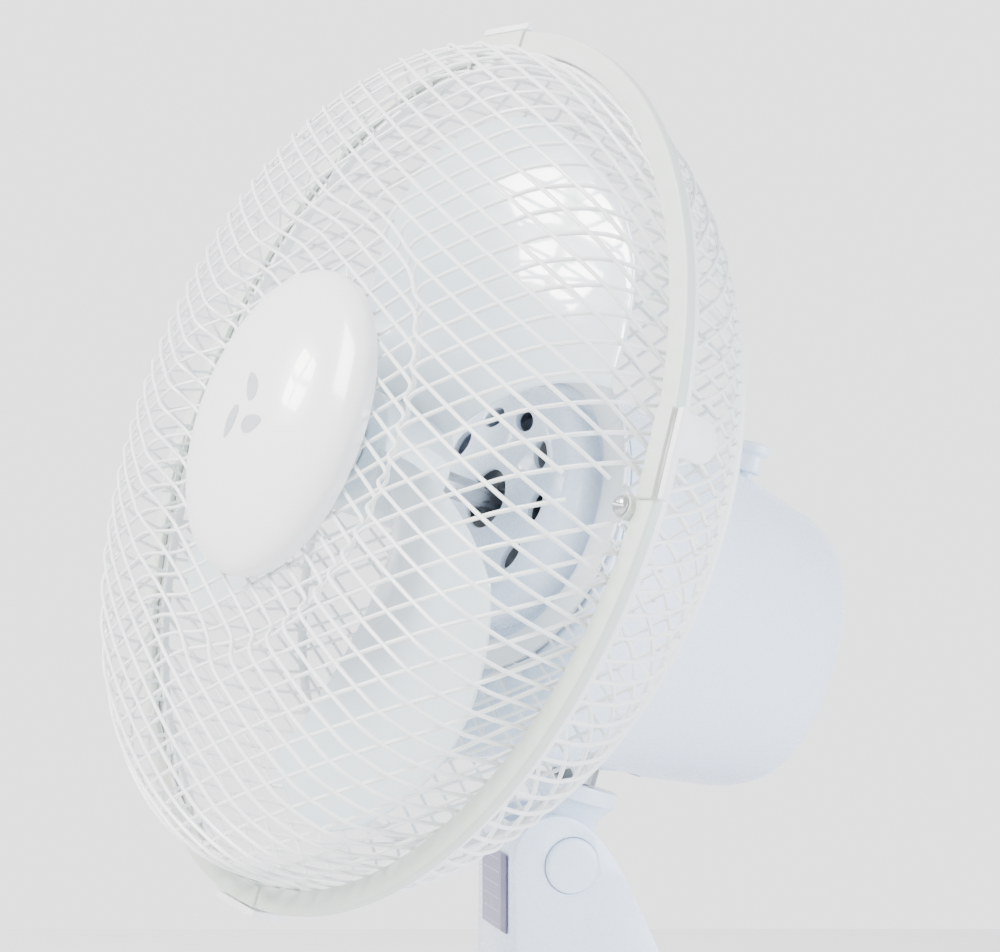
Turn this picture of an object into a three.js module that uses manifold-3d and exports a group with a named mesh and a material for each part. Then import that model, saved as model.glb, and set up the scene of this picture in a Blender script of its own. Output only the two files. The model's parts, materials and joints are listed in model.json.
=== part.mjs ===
// A 23 cm desk fan: weighted base, column, tilting neck, swinging motor head and a two-part wire guard.
// Millimetres, +Z up. The origin is the middle of the centre foot's underside and the base faces -Y.
// The head is built in its own frame (x right, y backwards along the shaft, z up, origin in the middle
// of the guard's rim) and then swung on the swivel pin and tilted on the column as it stands at rest.
import * as THREE from "three";
import { mergeVertices } from "three/addons/utils/BufferGeometryUtils.js";
import Module from "manifold-3d";

const wasm = await Module();
wasm.setup();

// ---- Driving dimensions ------------------------------------------------------------------------
// How the head stands at rest
const tiltRest = 17.75; // degrees that the head looks up
const swingRest = 16; // degrees that the head is swung to its left of straight ahead
const gap = 0.3; // between pieces that touch
const runGap = 0.6; // between pieces that turn or slide past each other

// Base
const baseRadius = 88;
const baseWall = 2.5;
const baseEdgeHeight = 17; // height of the base's upright edge
const baseTopHeight = 38; // height of the pad that the column stands on
const basePadRadius = 36;
const footRadius = 7;
const footHeight = 3;
const footCircle = 72;
const floorThickness = 2.2;
const ballastRadius = 62;
const ballastThickness = 5;
const ballastBore = 16;
const wireHole = 7; // radius of the hole for the wires up the column
const screwRadius = 2;
const columnScrewPlaces = [
  [-15, 14],
  [15, 14],
];
const glandRadius = 3.6;
const glandHeight = 10.8;

// Speed buttons in the front of the base
const buttonCount = 3;
const buttonPitch = 19;
const buttonWidth = 14;
const buttonDepth = 16;
const buttonY = -60;
const buttonPanelTop = 30;
const buttonProud = 3.5;
const buttonTravel = 3;
const panelDepth = 27;
const panelMargin = 4; // plastic left at each side of the buttons

// Column
const pivotY = 6; // tilt axis, behind the middle of the base
const pivotHeight = 128; // tilt axis, above the desk
const columnFront = 18.6; // front face, ahead of the tilt axis
const columnHalfWidth = 20;
const columnWall = 2.4;
const slotHalfWidth = 13.4; // slot between the cheeks, which holds the neck
const slotDepth = 19; // slot floor, below the tilt axis
const plateWidth = 24; // rating plate
const plateHeight = 25;
const plateThickness = 0.6;
const capRadius = 8.8; // round covers over the ends of the tilt bolt
const capThickness = 1.6;

// Tilt bolt and neck
const boltRadius = 3;
const boltHeadRadius = 5.5;
const boltHeadThickness = 2.7;
const neckBarrelRadius = 12;
const neckPlateRadius = 15.6;
const neckPlateThickness = 5.5;
const neckDrop = 102.5; // shaft axis, above the tilt axis, across the head
const neckSetback = 107; // swivel pin, behind the middle of the rim
const neckPlateTop = -77.5; // in the head's frame
const pinRadius = 4;
const pinHeadRadius = 6.4;
const pinTop = -46.7; // underside of the swivel pin's head

const washerRadius = 9;
const washerThickness = 1;

// Swing linkage: the crank turns on the head, the rocker post stands on the neck
const crankRadius = 9;
const rockerRadius = 15;
const crankPinRadius = 2;
const crankShaftRadius = 2.5;
const crankDiscThickness = 3;
const postRadius = 2.2;
const armWidth = 6;
const armThickness = 3;
const armTop = -61.5;
const linkClearance = 0.5; // between the crank pin's end and the arm

// Motor and gears
const shaftRadius = 4;
const shaftFront = -16.5;
const shaftRear = 147;
const statorFront = 68;
const statorRear = 101;
const statorHalf = 33;
const rotorRadius = 19.6;
const airGap = 0.7;
const windingOuter = 32;
const windingLength = 6;
const shieldRadius = 34;
const shieldThickness = 2.4;
const wormRadius = 4.6;
const wheelRadius = 9;
const wheelY = 130; // where the worm meets the wheel
const wheelThickness = 7;
const pinionRadius = 4;
const wheelTeeth = 32;
const crankGearTeeth = 40;
const crankGearRadius = 13.7;
const gearThickness = 4;
const gearboxFloor = -19;
const gearboxTop = 17;
const gearboxWall = 2.4;
const bossRadius = 7.6;

// Motor housing
const housingFront = 58.6;
const housingRear = 175;
const housingWall = 2.2;
const housingSections = [
  // distance behind the rim, half width, top, bottom
  [0, 52.6, 45, -79],
  [0.3, 49.6, 41, -74.5],
  [0.65, 45.5, 35.5, -69.5],
  [0.86, 43, 32.2, -66.6],
  [0.94, 39.5, 28.5, -63],
  [0.985, 33, 21, -55],
  [1, 24, 11, -45],
];
const bellRadius = 39;
const bellFront = 42;
const bellHole = 9.5;
const coverThickness = 2;
const ventCircle = 27.3;
const ventCount = 10;
const ventLong = 5.2; // half length of a vent, round the shaft
const ventWide = 3.2; // half width, outwards
const swivelHole = 21;
const knobRadius = 5.4;
const knobWaist = 3.9; // radius under its head
const knobHeight = 10;
const knobHeadHeight = 3.2;
const knobTravel = 5;

// Guard
const rimRadius = 137;
const bandWidth = 7;
const bandThickness = 2.1;
const bandLip = 2.1; // depth of the band's outer edge
const wire = 1.7; // side of a guard wire
const wireAngle = 22.5; // degrees that each family of wires leans from level
const wirePitch = 36; // one wire in five of the real mesh
const domeDepth = 38.6;
const dishDepth = 31; // the flat middle, behind the centre cap
const dishRadius = 62;
const ridgeRadius = 72;
const rearRimInset = 2.4; // from the rim to the outside of the rear guard's hoop
const rearRimRadius = rimRadius - rearRimInset;
const rearEdgeRadius = 108.5;
const rearEdgeDepth = 46;
const rearRingInner = 42.5;
const rearRingOuter = 52;
const rearRingDepth = 55.4;
const centreCapRadius = 47;
const centreCapDepth = 47;
const centreCapWall = 2.4;
const clipAngles = [5, 90, 185, 270];
const clipLength = 24;
const clipTabLow = -0.5; // the lever's tab, along the rim from the clip's middle
const clipTabTop = 11.2;
const clipHook = 2.2; // how far it reaches in behind the rear guard's hoop
const clipReach = 12.2;
const clipThickness = 2.2;
const lockScrewAngle = -1.4;

// Fan blades
const bladeTip = 112;
const bladeCount = 3;
const bladeThickness = 2;
const bladeStart = 40; // degrees, first blade's rear edge at the hub
const bladeSpan = 83; // degrees covered by one blade
const bladeSweep = 22; // degrees that its tip lags behind its root
const bladeFront = -6;
const bladeRear = 9;
const bladeTwist = 4; // extra depth of each edge at the root
const hubRadius = 19;
const hubFront = -11;
const hubRear = 15;
const nutRadius = 11;
const nutLength = 9;

// ---- Colours -------------------------------------------------------------------------------------
const finishes = {
  whitePlastic: [0xe9edf2, 0.32, 0],
  capPlastic: [0xf1f2f2, 0.2, 0],
  bandPlastic: [0xd9dfd9, 0.45, 0],
  clipPlastic: [0xe8ebe8, 0.4, 0],
  bladePlastic: [0xdde5ea, 0.15, 0],
  whiteWire: [0xeceeee, 0.35, 0.1],
  greyPlate: [0x7f7c9c, 0.5, 0],
  rubber: [0x1d1d1f, 0.9, 0],
  steel: [0xa9adb2, 0.35, 1],
  lamination: [0x6f7378, 0.5, 1],
  castAlloy: [0x9a9da1, 0.55, 0.9],
  copper: [0xb5693a, 0.4, 1],
  blackPlastic: [0x26272a, 0.55, 0],
  nylon: [0xd8d4c6, 0.5, 0],
};

// ---- Geometry helpers ----------------------------------------------------------------------------
const radians = THREE.MathUtils.degToRad;

/** A geometry as a solid that can be joined and cut. */
function solid(geometry) {
  const bare = new THREE.BufferGeometry();
  const flat = geometry.index ? geometry.toNonIndexed() : geometry;
  bare.setAttribute("position", flat.getAttribute("position"));
  const merged = mergeVertices(bare, 1e-4);
  return new wasm.Manifold(
    new wasm.Mesh({
      numProp: 3,
      vertProperties: merged.attributes.position.array,
      triVerts: new Uint32Array(merged.index.array),
    }),
  );
}

/** A solid as the geometry of a mesh. */
function shell(body) {
  const mesh = body.getMesh();
  const geometry = new THREE.BufferGeometry();
  geometry.setAttribute("position", new THREE.BufferAttribute(mesh.vertProperties, 3));
  geometry.setIndex(new THREE.BufferAttribute(mesh.triVerts, 1));
  const faceted = geometry.toNonIndexed();
  faceted.computeVertexNormals();
  return faceted;
}

/** Geometries joined into one. */
function join(...geometries) {
  return shell(geometries.map(solid).reduce((whole, piece) => whole.add(piece)));
}

/** A geometry with others cut out of it. */
function cut(geometry, ...tools) {
  return shell(tools.map(solid).reduce((whole, tool) => whole.subtract(tool), solid(geometry)));
}

/** The part of a geometry that lies inside another. */
function within(geometry, limit) {
  return shell(solid(geometry).intersect(solid(limit)));
}

/** A closed outline of [radius, height] corners turned about the y axis. */
function turned(corners, around = 40) {
  const points = corners.map(([r, h]) => new THREE.Vector2(r, h));
  if (THREE.ShapeUtils.area(points) < 0) points.reverse();
  const start = points.findIndex((p, i) => p.x === 0 && points.at(i - 1).x === 0);
  const ordered = start < 0 ? points : [...points.slice(start), ...points.slice(0, start)];
  if (start < 0) ordered.push(ordered[0].clone());
  return new THREE.LatheGeometry(ordered, around);
}

/** The same outline turned about the z axis. */
function upright(corners, around = 40) {
  return turned(corners, around).rotateX(Math.PI / 2);
}

/** A round bar along z between two heights, by default on the z axis. */
function post(radius, low, high, x = 0, y = 0, around = 20) {
  return new THREE.CylinderGeometry(radius, radius, high - low, around)
    .rotateX(Math.PI / 2)
    .translate(x, y, (low + high) / 2);
}

/** A round bar along y between two depths. */
function rod(radius, front, rear, x = 0, z = 0, around = 20) {
  return new THREE.CylinderGeometry(radius, radius, rear - front, around).translate(
    x,
    (front + rear) / 2,
    z,
  );
}

/** A box between two corners. */
function block(x0, x1, y0, y1, z0, z1) {
  return new THREE.BoxGeometry(x1 - x0, y1 - y0, z1 - z0).translate(
    (x0 + x1) / 2,
    (y0 + y1) / 2,
    (z0 + z1) / 2,
  );
}

/** A closed body through rounded sections stacked along z: {z, x, y, a, b} with half widths a and b. */
function loft(sections, squareness = 2, around = 32) {
  const rows = sections.length - 1;
  const geometry = new THREE.CylinderGeometry(1, 1, rows, around, rows).rotateX(Math.PI / 2);
  const position = geometry.attributes.position;
  const bulge = (value) => Math.sign(value) * Math.abs(value) ** (2 / squareness);
  for (let i = 0; i < position.count; i += 1) {
    const section = sections[Math.round(position.getZ(i) + rows / 2)];
    const reach = Math.hypot(position.getX(i), position.getY(i));
    const angle = Math.atan2(position.getY(i), position.getX(i));
    const x = section.x + reach * section.a * bulge(Math.cos(angle));
    const y = section.y + reach * section.b * bulge(Math.sin(angle));
    position.setXYZ(i, x, y, section.z);
  }
  return geometry;
}

/** A path of straight runs that an extrusion follows corner by corner. */
class Bends extends THREE.Curve {
  constructor(corners) {
    super();
    this.corners = corners;
  }

  getPoint(t, target = new THREE.Vector3()) {
    const place = THREE.MathUtils.clamp(t, 0, 1) * (this.corners.length - 1);
    const index = Math.min(Math.floor(place), this.corners.length - 2);
    return target.lerpVectors(this.corners[index], this.corners[index + 1], place - index);
  }

  getPointAt(u, target) {
    return this.getPoint(u, target);
  }

  getTangentAt(u, target) {
    return this.getTangent(u, target);
  }
}

/** A square wire along corners. */
function bentWire(corners, side) {
  const half = side / 2;
  const section = new THREE.Shape([
    new THREE.Vector2(-half, -half),
    new THREE.Vector2(half, -half),
    new THREE.Vector2(half, half),
    new THREE.Vector2(-half, half),
  ]);
  return new THREE.ExtrudeGeometry(section, {
    steps: corners.length - 1,
    bevelEnabled: false,
    extrudePath: new Bends(corners),
  });
}

/** A named mesh with a finish. */
function piece(name, finish, geometry) {
  const [color, roughness, metalness] = finishes[finish];
  const mesh = new THREE.Mesh(
    geometry,
    new THREE.MeshStandardMaterial({ color, roughness, metalness }),
  );
  mesh.name = name;
  return mesh;
}

/** A group of pieces. */
function group(...pieces) {
  const made = new THREE.Group();
  made.add(...pieces);
  return made;
}

// ---- Base ----------------------------------------------------------------------------------------
const baseBottom = footHeight + gap; // underside of the base shell
const floorTop = baseBottom + floorThickness;
const panelHalf = (buttonCount * buttonPitch) / 2 + panelMargin;
const windowGap = 0.5; // around a button in its window
const buttonPlaces = Array.from(
  { length: buttonCount },
  (_, i) => (i - (buttonCount - 1) / 2) * buttonPitch,
);
const skirtBottom = buttonPanelTop - baseWall - 7;
const switchTop = skirtBottom - buttonTravel - 1.5;

function baseShell() {
  const outer = [
    [0, baseBottom],
    [baseRadius, baseBottom],
    [baseRadius, baseEdgeHeight - 5],
    [baseRadius - 2, baseEdgeHeight],
    [baseRadius - 12, baseEdgeHeight + 6],
    [basePadRadius + 14, baseTopHeight - 5],
    [basePadRadius + 4, baseTopHeight - 1.5],
    [basePadRadius, baseTopHeight],
    [0, baseTopHeight],
  ];
  const inner = [
    [0, baseBottom - 1],
    [baseRadius - baseWall, baseBottom - 1],
    [baseRadius - baseWall, baseEdgeHeight - 6],
    [baseRadius - baseWall - 3, baseEdgeHeight - 2],
    [baseRadius - baseWall - 12, baseEdgeHeight + 3.2],
    [basePadRadius + 12, baseTopHeight - 5 - baseWall],
    [basePadRadius, baseTopHeight - baseWall],
    [0, baseTopHeight - baseWall],
  ];
  const front = buttonY - panelDepth / 2;
  const back = buttonY + panelDepth / 2;
  const panel = block(-panelHalf, panelHalf, front, back, baseEdgeHeight - 5, buttonPanelTop);
  const hollow = block(
    -panelHalf + baseWall,
    panelHalf - baseWall,
    front + baseWall,
    back + 6,
    baseEdgeHeight - 8,
    buttonPanelTop - baseWall,
  );
  const windows = buttonPlaces.map((x) =>
    block(
      x - buttonWidth / 2 - windowGap,
      x + buttonWidth / 2 + windowGap,
      buttonY - buttonDepth / 2 - windowGap,
      buttonY + buttonDepth / 2 + windowGap,
      buttonPanelTop - baseWall - 1,
      buttonPanelTop + 20,
    ),
  );
  const screwHoles = columnScrewPlaces.map(([x, y]) =>
    post(screwRadius + gap, baseTopHeight - 5, baseTopHeight + 1, x, y, 12),
  );
  return cut(
    join(upright(outer, 36), panel),
    upright(inner, 36),
    hollow,
    ...windows,
    ...screwHoles,
    post(wireHole, baseTopHeight - 5, baseTopHeight + 1),
    rod(glandRadius + gap, baseRadius - 8, baseRadius + 2, 0, glandHeight, 16),
  );
}

function columnScrew(place) {
  const top = baseTopHeight - baseWall - gap;
  return join(
    post(screwRadius * 1.9, top - 2.4, top, place[0], place[1], 12),
    post(screwRadius, top - 0.5, baseTopHeight + 12, place[0], place[1], 12),
  );
}

function baseFloor() {
  const plate = upright([
    [0, baseBottom],
    [baseRadius - baseWall - gap, baseBottom],
    [baseRadius - baseWall - gap, floorTop],
    [0, floorTop],
  ], 36);
  const slots = [-1, 0, 1].map((i) =>
    block(24 + i * 7 - 1.5, 24 + i * 7 + 1.5, 30, 50, baseBottom - 1, floorTop + 1),
  );
  return cut(plate, ...slots);
}

function ballast() {
  const low = floorTop + gap;
  const ring = upright(
    [
      [ballastBore, low],
      [ballastRadius, low],
      [ballastRadius, low + ballastThickness],
      [ballastBore, low + ballastThickness],
    ],
    32,
  );
  const switchRoom = block(
    -panelHalf,
    panelHalf,
    -ballastRadius - 1,
    buttonY + panelDepth / 2 + 2,
    low - 1,
    low + ballastThickness + 1,
  );
  return cut(ring, switchRoom);
}

function foot(x, y) {
  return upright(
    [
      [0, 0],
      [footRadius - 0.8, 0],
      [footRadius, 0.8],
      [footRadius, footHeight],
      [0, footHeight],
    ],
    20,
  ).translate(x, y, 0);
}

function switchBlock() {
  const body = block(
    -panelHalf + baseWall + gap,
    panelHalf - baseWall - gap,
    buttonY - buttonDepth / 2 - 1,
    buttonY + buttonDepth / 2 + 1,
    floorTop + gap,
    switchTop,
  );
  const wells = buttonPlaces.map((x) =>
    post(4, switchTop - buttonTravel - 2.5, switchTop + 1, x, buttonY, 12),
  );
  return cut(body, ...wells);
}

function button(x) {
  const top = buttonPanelTop + buttonProud;
  const cap = block(
    x - buttonWidth / 2,
    x + buttonWidth / 2,
    buttonY - buttonDepth / 2,
    buttonY + buttonDepth / 2,
    skirtBottom,
    top - 1,
  );
  const crown = block(
    x - buttonWidth / 2 + 1,
    x + buttonWidth / 2 - 1,
    buttonY - buttonDepth / 2 + 1,
    buttonY + buttonDepth / 2 - 1,
    top - 2,
    top,
  );
  const collar = block(
    x - buttonWidth / 2 - 1.2,
    x + buttonWidth / 2 + 1.2,
    buttonY - buttonDepth / 2 - 1.2,
    buttonY + buttonDepth / 2 + 1.2,
    skirtBottom,
    buttonPanelTop - baseWall - gap,
  );
  const stem = post(3.2, switchTop - 1.5, skirtBottom + 1, x, buttonY, 12);
  return join(cap, crown, collar, stem);
}

function capacitor() {
  return block(-18, 18, 24, 42, floorTop + gap + ballastThickness + gap, 27);
}

function cordGland() {
  const sleeve = rod(glandRadius, baseRadius - 9, baseRadius - 1, 0, glandHeight, 16);
  const flange = rod(glandRadius + 1, baseRadius - 8, baseRadius - 6.5, 0, glandHeight, 16);
  const bore = rod(glandRadius - 1.2, baseRadius - 12, baseRadius + 3, 0, glandHeight, 12);
  return cut(join(sleeve, flange), bore);
}

// ---- Column --------------------------------------------------------------------------------------
const columnFoot = baseTopHeight + gap;
const capBore = capRadius + gap;
const columnTop = pivotHeight + 18;

/** The column's side outline, [y, z] from the tilt axis, before its foot. */
const hoodOutline = [
  [-columnFront, -slotDepth - 40],
  [-columnFront, 4],
  [-columnFront + 1.3, 8.5],
  [-columnFront + 4.4, 12.6],
  [-10, 15.2],
  [-4.5, 16],
  [1.5, 14.6],
  [8, 9.8],
  [15, 1],
  [21, -10],
  [30, -29],
  [37.5, -46],
];

function columnBody(inset = 0) {
  const foot = columnFoot - pivotHeight;
  const outline = [
    [-columnFront + inset - 3, foot],
    ...hoodOutline.map(([y, z]) => [y < 0 ? y + inset : y - inset, z - inset]),
    [44 - inset, foot],
  ];
  const side = new THREE.Shape(outline.map(([y, z]) => new THREE.Vector2(y, z)));
  const slab = new THREE.ExtrudeGeometry(side, { depth: 120, bevelEnabled: false, steps: 1 })
    .rotateX(Math.PI / 2)
    .rotateZ(Math.PI / 2)
    .translate(-60, pivotY, pivotHeight);
  const half = columnHalfWidth - inset;
  const middle = pivotY - columnFront / 2 + 16;
  const taper = loft(
    [
      { z: columnFoot - 1, x: 0, y: middle, a: half + 9, b: 60 },
      { z: columnFoot + 12, x: 0, y: middle, a: half + 5, b: 58 },
      { z: columnFoot + 45, x: 0, y: middle, a: half + 1.5, b: 46 },
      { z: pivotHeight - 14, x: 0, y: middle - 4, a: half, b: 38 },
      { z: columnTop + 3, x: 0, y: middle - 4, a: half - 0.6, b: 38 },
    ],
    3,
    24,
  );
  return within(slab, taper);
}

function column() {
  const cavity = within(
    columnBody(columnWall),
    block(-60, 60, -80, 80, columnFoot + 3, pivotHeight - slotDepth - 3),
  );
  const slot = block(
    -slotHalfWidth,
    slotHalfWidth,
    pivotY - columnFront + 4,
    80,
    pivotHeight - slotDepth,
    columnTop + 10,
  );
  const across = (radius, half) =>
    new THREE.CylinderGeometry(radius, radius, 2 * half, 24)
      .rotateZ(Math.PI / 2)
      .translate(0, pivotY, pivotHeight);
  const recess = (side) =>
    new THREE.CylinderGeometry(capBore, capBore, 10, 32)
      .rotateZ(Math.PI / 2)
      .translate(side * (columnHalfWidth - capThickness + 5), pivotY, pivotHeight);
  const headRoom = (side) =>
    new THREE.CylinderGeometry(boltHeadRadius + gap, boltHeadRadius + gap, 10, 20)
      .rotateZ(Math.PI / 2)
      .translate(side * (cheekInner + 5), pivotY, pivotHeight);
  const screwBores = columnScrewPlaces.map(([x, y]) =>
    post(screwRadius + gap, columnFoot - 1, columnFoot + 13, x, y, 12),
  );
  return cut(
    columnBody(),
    cavity,
    slot,
    across(boltRadius + gap, 40),
    recess(1),
    recess(-1),
    headRoom(1),
    headRoom(-1),
    post(wireHole, columnFoot - 1, columnFoot + 4, 0, 0),
    block(-5, 5, pivotY - 14, pivotY - 4, pivotHeight - slotDepth - 4, pivotHeight - slotDepth + 1),
    ...screwBores,
  );
}

const cheekInner = slotHalfWidth + 2; // where the bolt's head and nut bear

function ratingPlate() {
  const y = pivotY - columnFront - gap;
  return block(
    -plateWidth / 2,
    plateWidth / 2,
    y - plateThickness,
    y,
    pivotHeight - plateHeight + 3,
    pivotHeight + 3,
  );
}

function pivotCap(side) {
  const foot = columnHalfWidth - capThickness + gap;
  return turned(
    [
      [0, foot],
      [capRadius, foot],
      [capRadius, foot + capThickness],
      [capRadius - 1, foot + capThickness + 0.9],
      [0, foot + capThickness + 1.3],
    ],
    32,
  )
    .rotateZ(-side * (Math.PI / 2))
    .translate(0, pivotY, pivotHeight);
}

// ---- Linkage: where its pins stand, about the swivel pin -------------------------------------------
const wheelX = wormRadius + wheelRadius + gap;
const crankAt = new THREE.Vector2(
  wheelX - pinionRadius - crankGearRadius - gap,
  wheelY - neckSetback,
);
const groundLength = crankAt.length();
const linkLength = Math.sqrt(groundLength ** 2 - rockerRadius ** 2);
const swing = radians(swingRest);

/** The rocker post in the neck's frame: square to the link when the head looks straight ahead. */
const postAt = crankAt
  .clone()
  .setLength(rockerRadius)
  .rotateAround(new THREE.Vector2(), Math.acos(rockerRadius / groundLength));

/** The crank pin in the head's frame, where crank and link meet with the head swung as at rest. */
const crankPinAt = (() => {
  const postSeen = postAt.clone().rotateAround(new THREE.Vector2(), -swing);
  const reach = postSeen.clone().sub(crankAt);
  const d = reach.length();
  const bend = Math.acos((crankRadius ** 2 + d ** 2 - linkLength ** 2) / (2 * crankRadius * d));
  return reach.setLength(crankRadius).rotateAround(new THREE.Vector2(), bend).add(crankAt);
})();

// ---- Neck: its origin is the swivel pin at the height of the shaft ----------------------------------
const plateBottom = neckPlateTop - neckPlateThickness;
const armBottom = armTop - armThickness;

/** A round bar along x, by default centred. */
function crossBar(radius, length, x = 0, z = 0, around = 20) {
  return new THREE.CylinderGeometry(radius, radius, length, around)
    .rotateZ(Math.PI / 2)
    .translate(x, 0, z);
}

function neck() {
  const width = 2 * (slotHalfWidth - washerThickness - 2 * gap);
  const barrel = crossBar(neckBarrelRadius, width, 0, -neckDrop, 28);
  const web = block(-11, 11, -9.5, 9.5, -neckDrop, plateBottom + 1);
  const plate = post(neckPlateRadius, plateBottom, neckPlateTop, 0, 0, 32);
  const linkPost = post(postRadius, neckPlateTop - 1, armTop, postAt.x, postAt.y, 12);
  const collar = post(postRadius + 1.6, neckPlateTop - 1, armBottom - gap, postAt.x, postAt.y, 12);
  return cut(
    join(barrel, web, plate, linkPost, collar),
    crossBar(boltRadius + gap, 60, 0, -neckDrop),
    post(pinRadius + gap, -neckDrop + boltRadius + 4, neckPlateTop + 1),
  );
}

function swivelPin() {
  return join(
    post(pinRadius, -neckDrop + boltRadius + 4 + gap, pinTop + 1),
    post(pinHeadRadius, pinTop, pinTop + 2.1),
  );
}

function washer(side) {
  const x = side * (slotHalfWidth - gap - washerThickness / 2);
  return cut(
    crossBar(washerRadius, washerThickness, x),
    crossBar(boltRadius + gap, 4 * washerThickness, x),
  );
}

function tiltBolt() {
  const seat = cheekInner + gap;
  const head = crossBar(boltHeadRadius, boltHeadThickness, seat + boltHeadThickness / 2, 0, 6);
  const tail = seat + 3;
  return join(crossBar(boltRadius, seat + tail + 0.5, (seat + 0.5 - tail) / 2), head);
}

function tiltNut() {
  const x = -(cheekInner + gap + 1.4);
  return cut(crossBar(boltHeadRadius, 2.8, x, 0, 6), crossBar(boltRadius + gap, 9, x));
}

function linkArm() {
  const tip = crankPinAt.clone().rotateAround(new THREE.Vector2(), swing);
  const run = tip.clone().sub(postAt);
  const bar = block(0, run.length(), -armWidth / 2, armWidth / 2, armBottom, armTop)
    .rotateZ(run.angle())
    .translate(postAt.x, postAt.y, 0);
  const eye = (at) => post(armWidth / 2 + 1, armBottom, armTop, at.x, at.y);
  const bore = (radius, at) => post(radius, armBottom - 1, armTop + 1, at.x, at.y, 16);
  return cut(join(bar, eye(postAt), eye(tip)), bore(postRadius + gap, postAt), bore(2.4, tip));
}

// ---- Motor housing: its origin and all that follow are the head's ----------------------------------
/** Half width, top and bottom of the housing at a share of its length. */
function housingAt(share) {
  const next = Math.max(1, housingSections.findIndex(([s]) => s >= share));
  const [from, to] = [housingSections[next - 1], housingSections[next]];
  const mix = (share - from[0]) / (to[0] - from[0]);
  return [1, 2, 3].map((k) => THREE.MathUtils.lerp(from[k], to[k], mix));
}

const housingLength = housingRear - housingFront;

/** A body inside the housing's outline, inset from it, between two shares of its length. */
function housingBody(inset, shares, shift = 0) {
  const sections = shares.map((share) => {
    const [half, top, bottom] = housingAt(share);
    return {
      z: housingFront + share * housingLength + shift,
      x: 0,
      y: -(top + bottom) / 2,
      a: half - inset,
      b: (top - bottom) / 2 - inset,
    };
  });
  return loft(sections, 2.5, 32).rotateX(-Math.PI / 2);
}

const knobFoot = housingAt((wheelY - housingFront) / housingLength)[1] + runGap;

function motorHousing() {
  const shares = housingSections.map(([share]) => share);
  const inner = housingBody(housingWall, shares, -housingWall);
  const mouth = housingBody(housingWall, [0, 0.02], -housingWall - 1);
  const slots = [-2, -1, 0, 1, 2].map((i) =>
    block(i * 8 - 1.4, i * 8 + 1.4, housingRear - 6, housingRear + 5, -34, 0),
  );
  return cut(
    housingBody(0, shares),
    inner,
    mouth,
    post(swivelHole, -100, -50, 0, neckSetback, 32),
    post(2.2 + runGap, 20, 60, wheelX, wheelY, 16),
    ...slots,
  );
}

function motorCover() {
  const [half, top, bottom] = housingAt(0);
  const rear = housingFront - gap;
  const section = (y) => ({ z: y, x: 0, y: -(top + bottom) / 2, a: half, b: (top - bottom) / 2 });
  const plate = loft([section(rear - coverThickness), section(rear)], 2.5, 32).rotateX(
    -Math.PI / 2,
  );
  const bell = turned(
    [
      [bellHole, bellFront],
      [bellRadius - 6, bellFront],
      [bellRadius - 1.5, bellFront + 2.5],
      [bellRadius, bellFront + 6.5],
      [bellRadius, rear],
      [bellRadius - coverThickness, rear],
      [bellRadius - coverThickness, bellFront + 7.5],
      [bellRadius - 3, bellFront + 4],
      [bellRadius - 6.7, bellFront + coverThickness],
      [bellHole, bellFront + coverThickness],
    ],
    32,
  );
  const vents = Array.from({ length: ventCount }, (_, i) =>
    rod(1, bellFront - 3, bellFront + 4.5, 0, 0, 8)
      .scale(ventWide, 1, ventLong)
      .translate(ventCircle, 0, 0)
      .rotateY((i * 2 * Math.PI) / ventCount),
  );
  const room = rod(bellRadius - coverThickness, rear - coverThickness - 1, rear + 1, 0, 0, 40);
  return cut(join(cut(plate, room), bell), ...vents);
}

function knob() {
  return join(
    upright(
      [
        [0, knobFoot],
        [knobWaist, knobFoot],
        [knobWaist, knobFoot + knobHeight - knobHeadHeight - 1],
        [knobRadius, knobFoot + knobHeight - knobHeadHeight],
        [knobRadius, knobFoot + knobHeight - 0.8],
        [knobRadius - 0.8, knobFoot + knobHeight],
        [0, knobFoot + knobHeight],
      ],
      20,
    ).translate(wheelX, wheelY, 0),
    post(2.2, lidTop + runGap, knobFoot + 1, wheelX, wheelY, 12),
  );
}

// ---- Motor ---------------------------------------------------------------------------------------
const frontShieldRear = statorFront - windingLength - 2 * gap;
const rearShieldFront = statorRear + windingLength + 2 * gap;
const boxFront = rearShieldFront + shieldThickness + gap;
const boxRear = wheelY + crankGearRadius + 1 + gearboxWall;
const boxLeft = crankAt.x - crankGearRadius - 1 - gearboxWall;
const boxRight = wheelX + wheelRadius + 1 + gearboxWall;
const lidTop = gearboxTop + gap + 2;

function stator() {
  const corner = 12;
  const outline = new THREE.Shape();
  outline.moveTo(-statorHalf + corner, -statorHalf);
  outline.lineTo(statorHalf - corner, -statorHalf);
  outline.lineTo(statorHalf, -statorHalf + corner);
  outline.lineTo(statorHalf, statorHalf - corner);
  outline.lineTo(statorHalf - corner, statorHalf);
  outline.lineTo(-statorHalf + corner, statorHalf);
  outline.lineTo(-statorHalf, statorHalf - corner);
  outline.lineTo(-statorHalf, -statorHalf + corner);
  outline.closePath();
  const stack = new THREE.ExtrudeGeometry(outline, {
    depth: statorRear - statorFront,
    bevelEnabled: false,
    steps: 1,
  })
    .rotateX(-Math.PI / 2)
    .translate(0, statorFront, 0);
  return cut(stack, rod(rotorRadius + airGap, statorFront - 1, statorRear + 1, 0, 0, 32));
}

function winding(front) {
  const rear = front + windingLength;
  return turned(
    [
      [rotorRadius + airGap + 1.5, front + 1],
      [rotorRadius + airGap + 3.5, front],
      [windingOuter - 2.5, front],
      [windingOuter, front + 2],
      [windingOuter, rear],
      [rotorRadius + airGap + 1.5, rear],
    ],
    32,
  );
}

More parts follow.
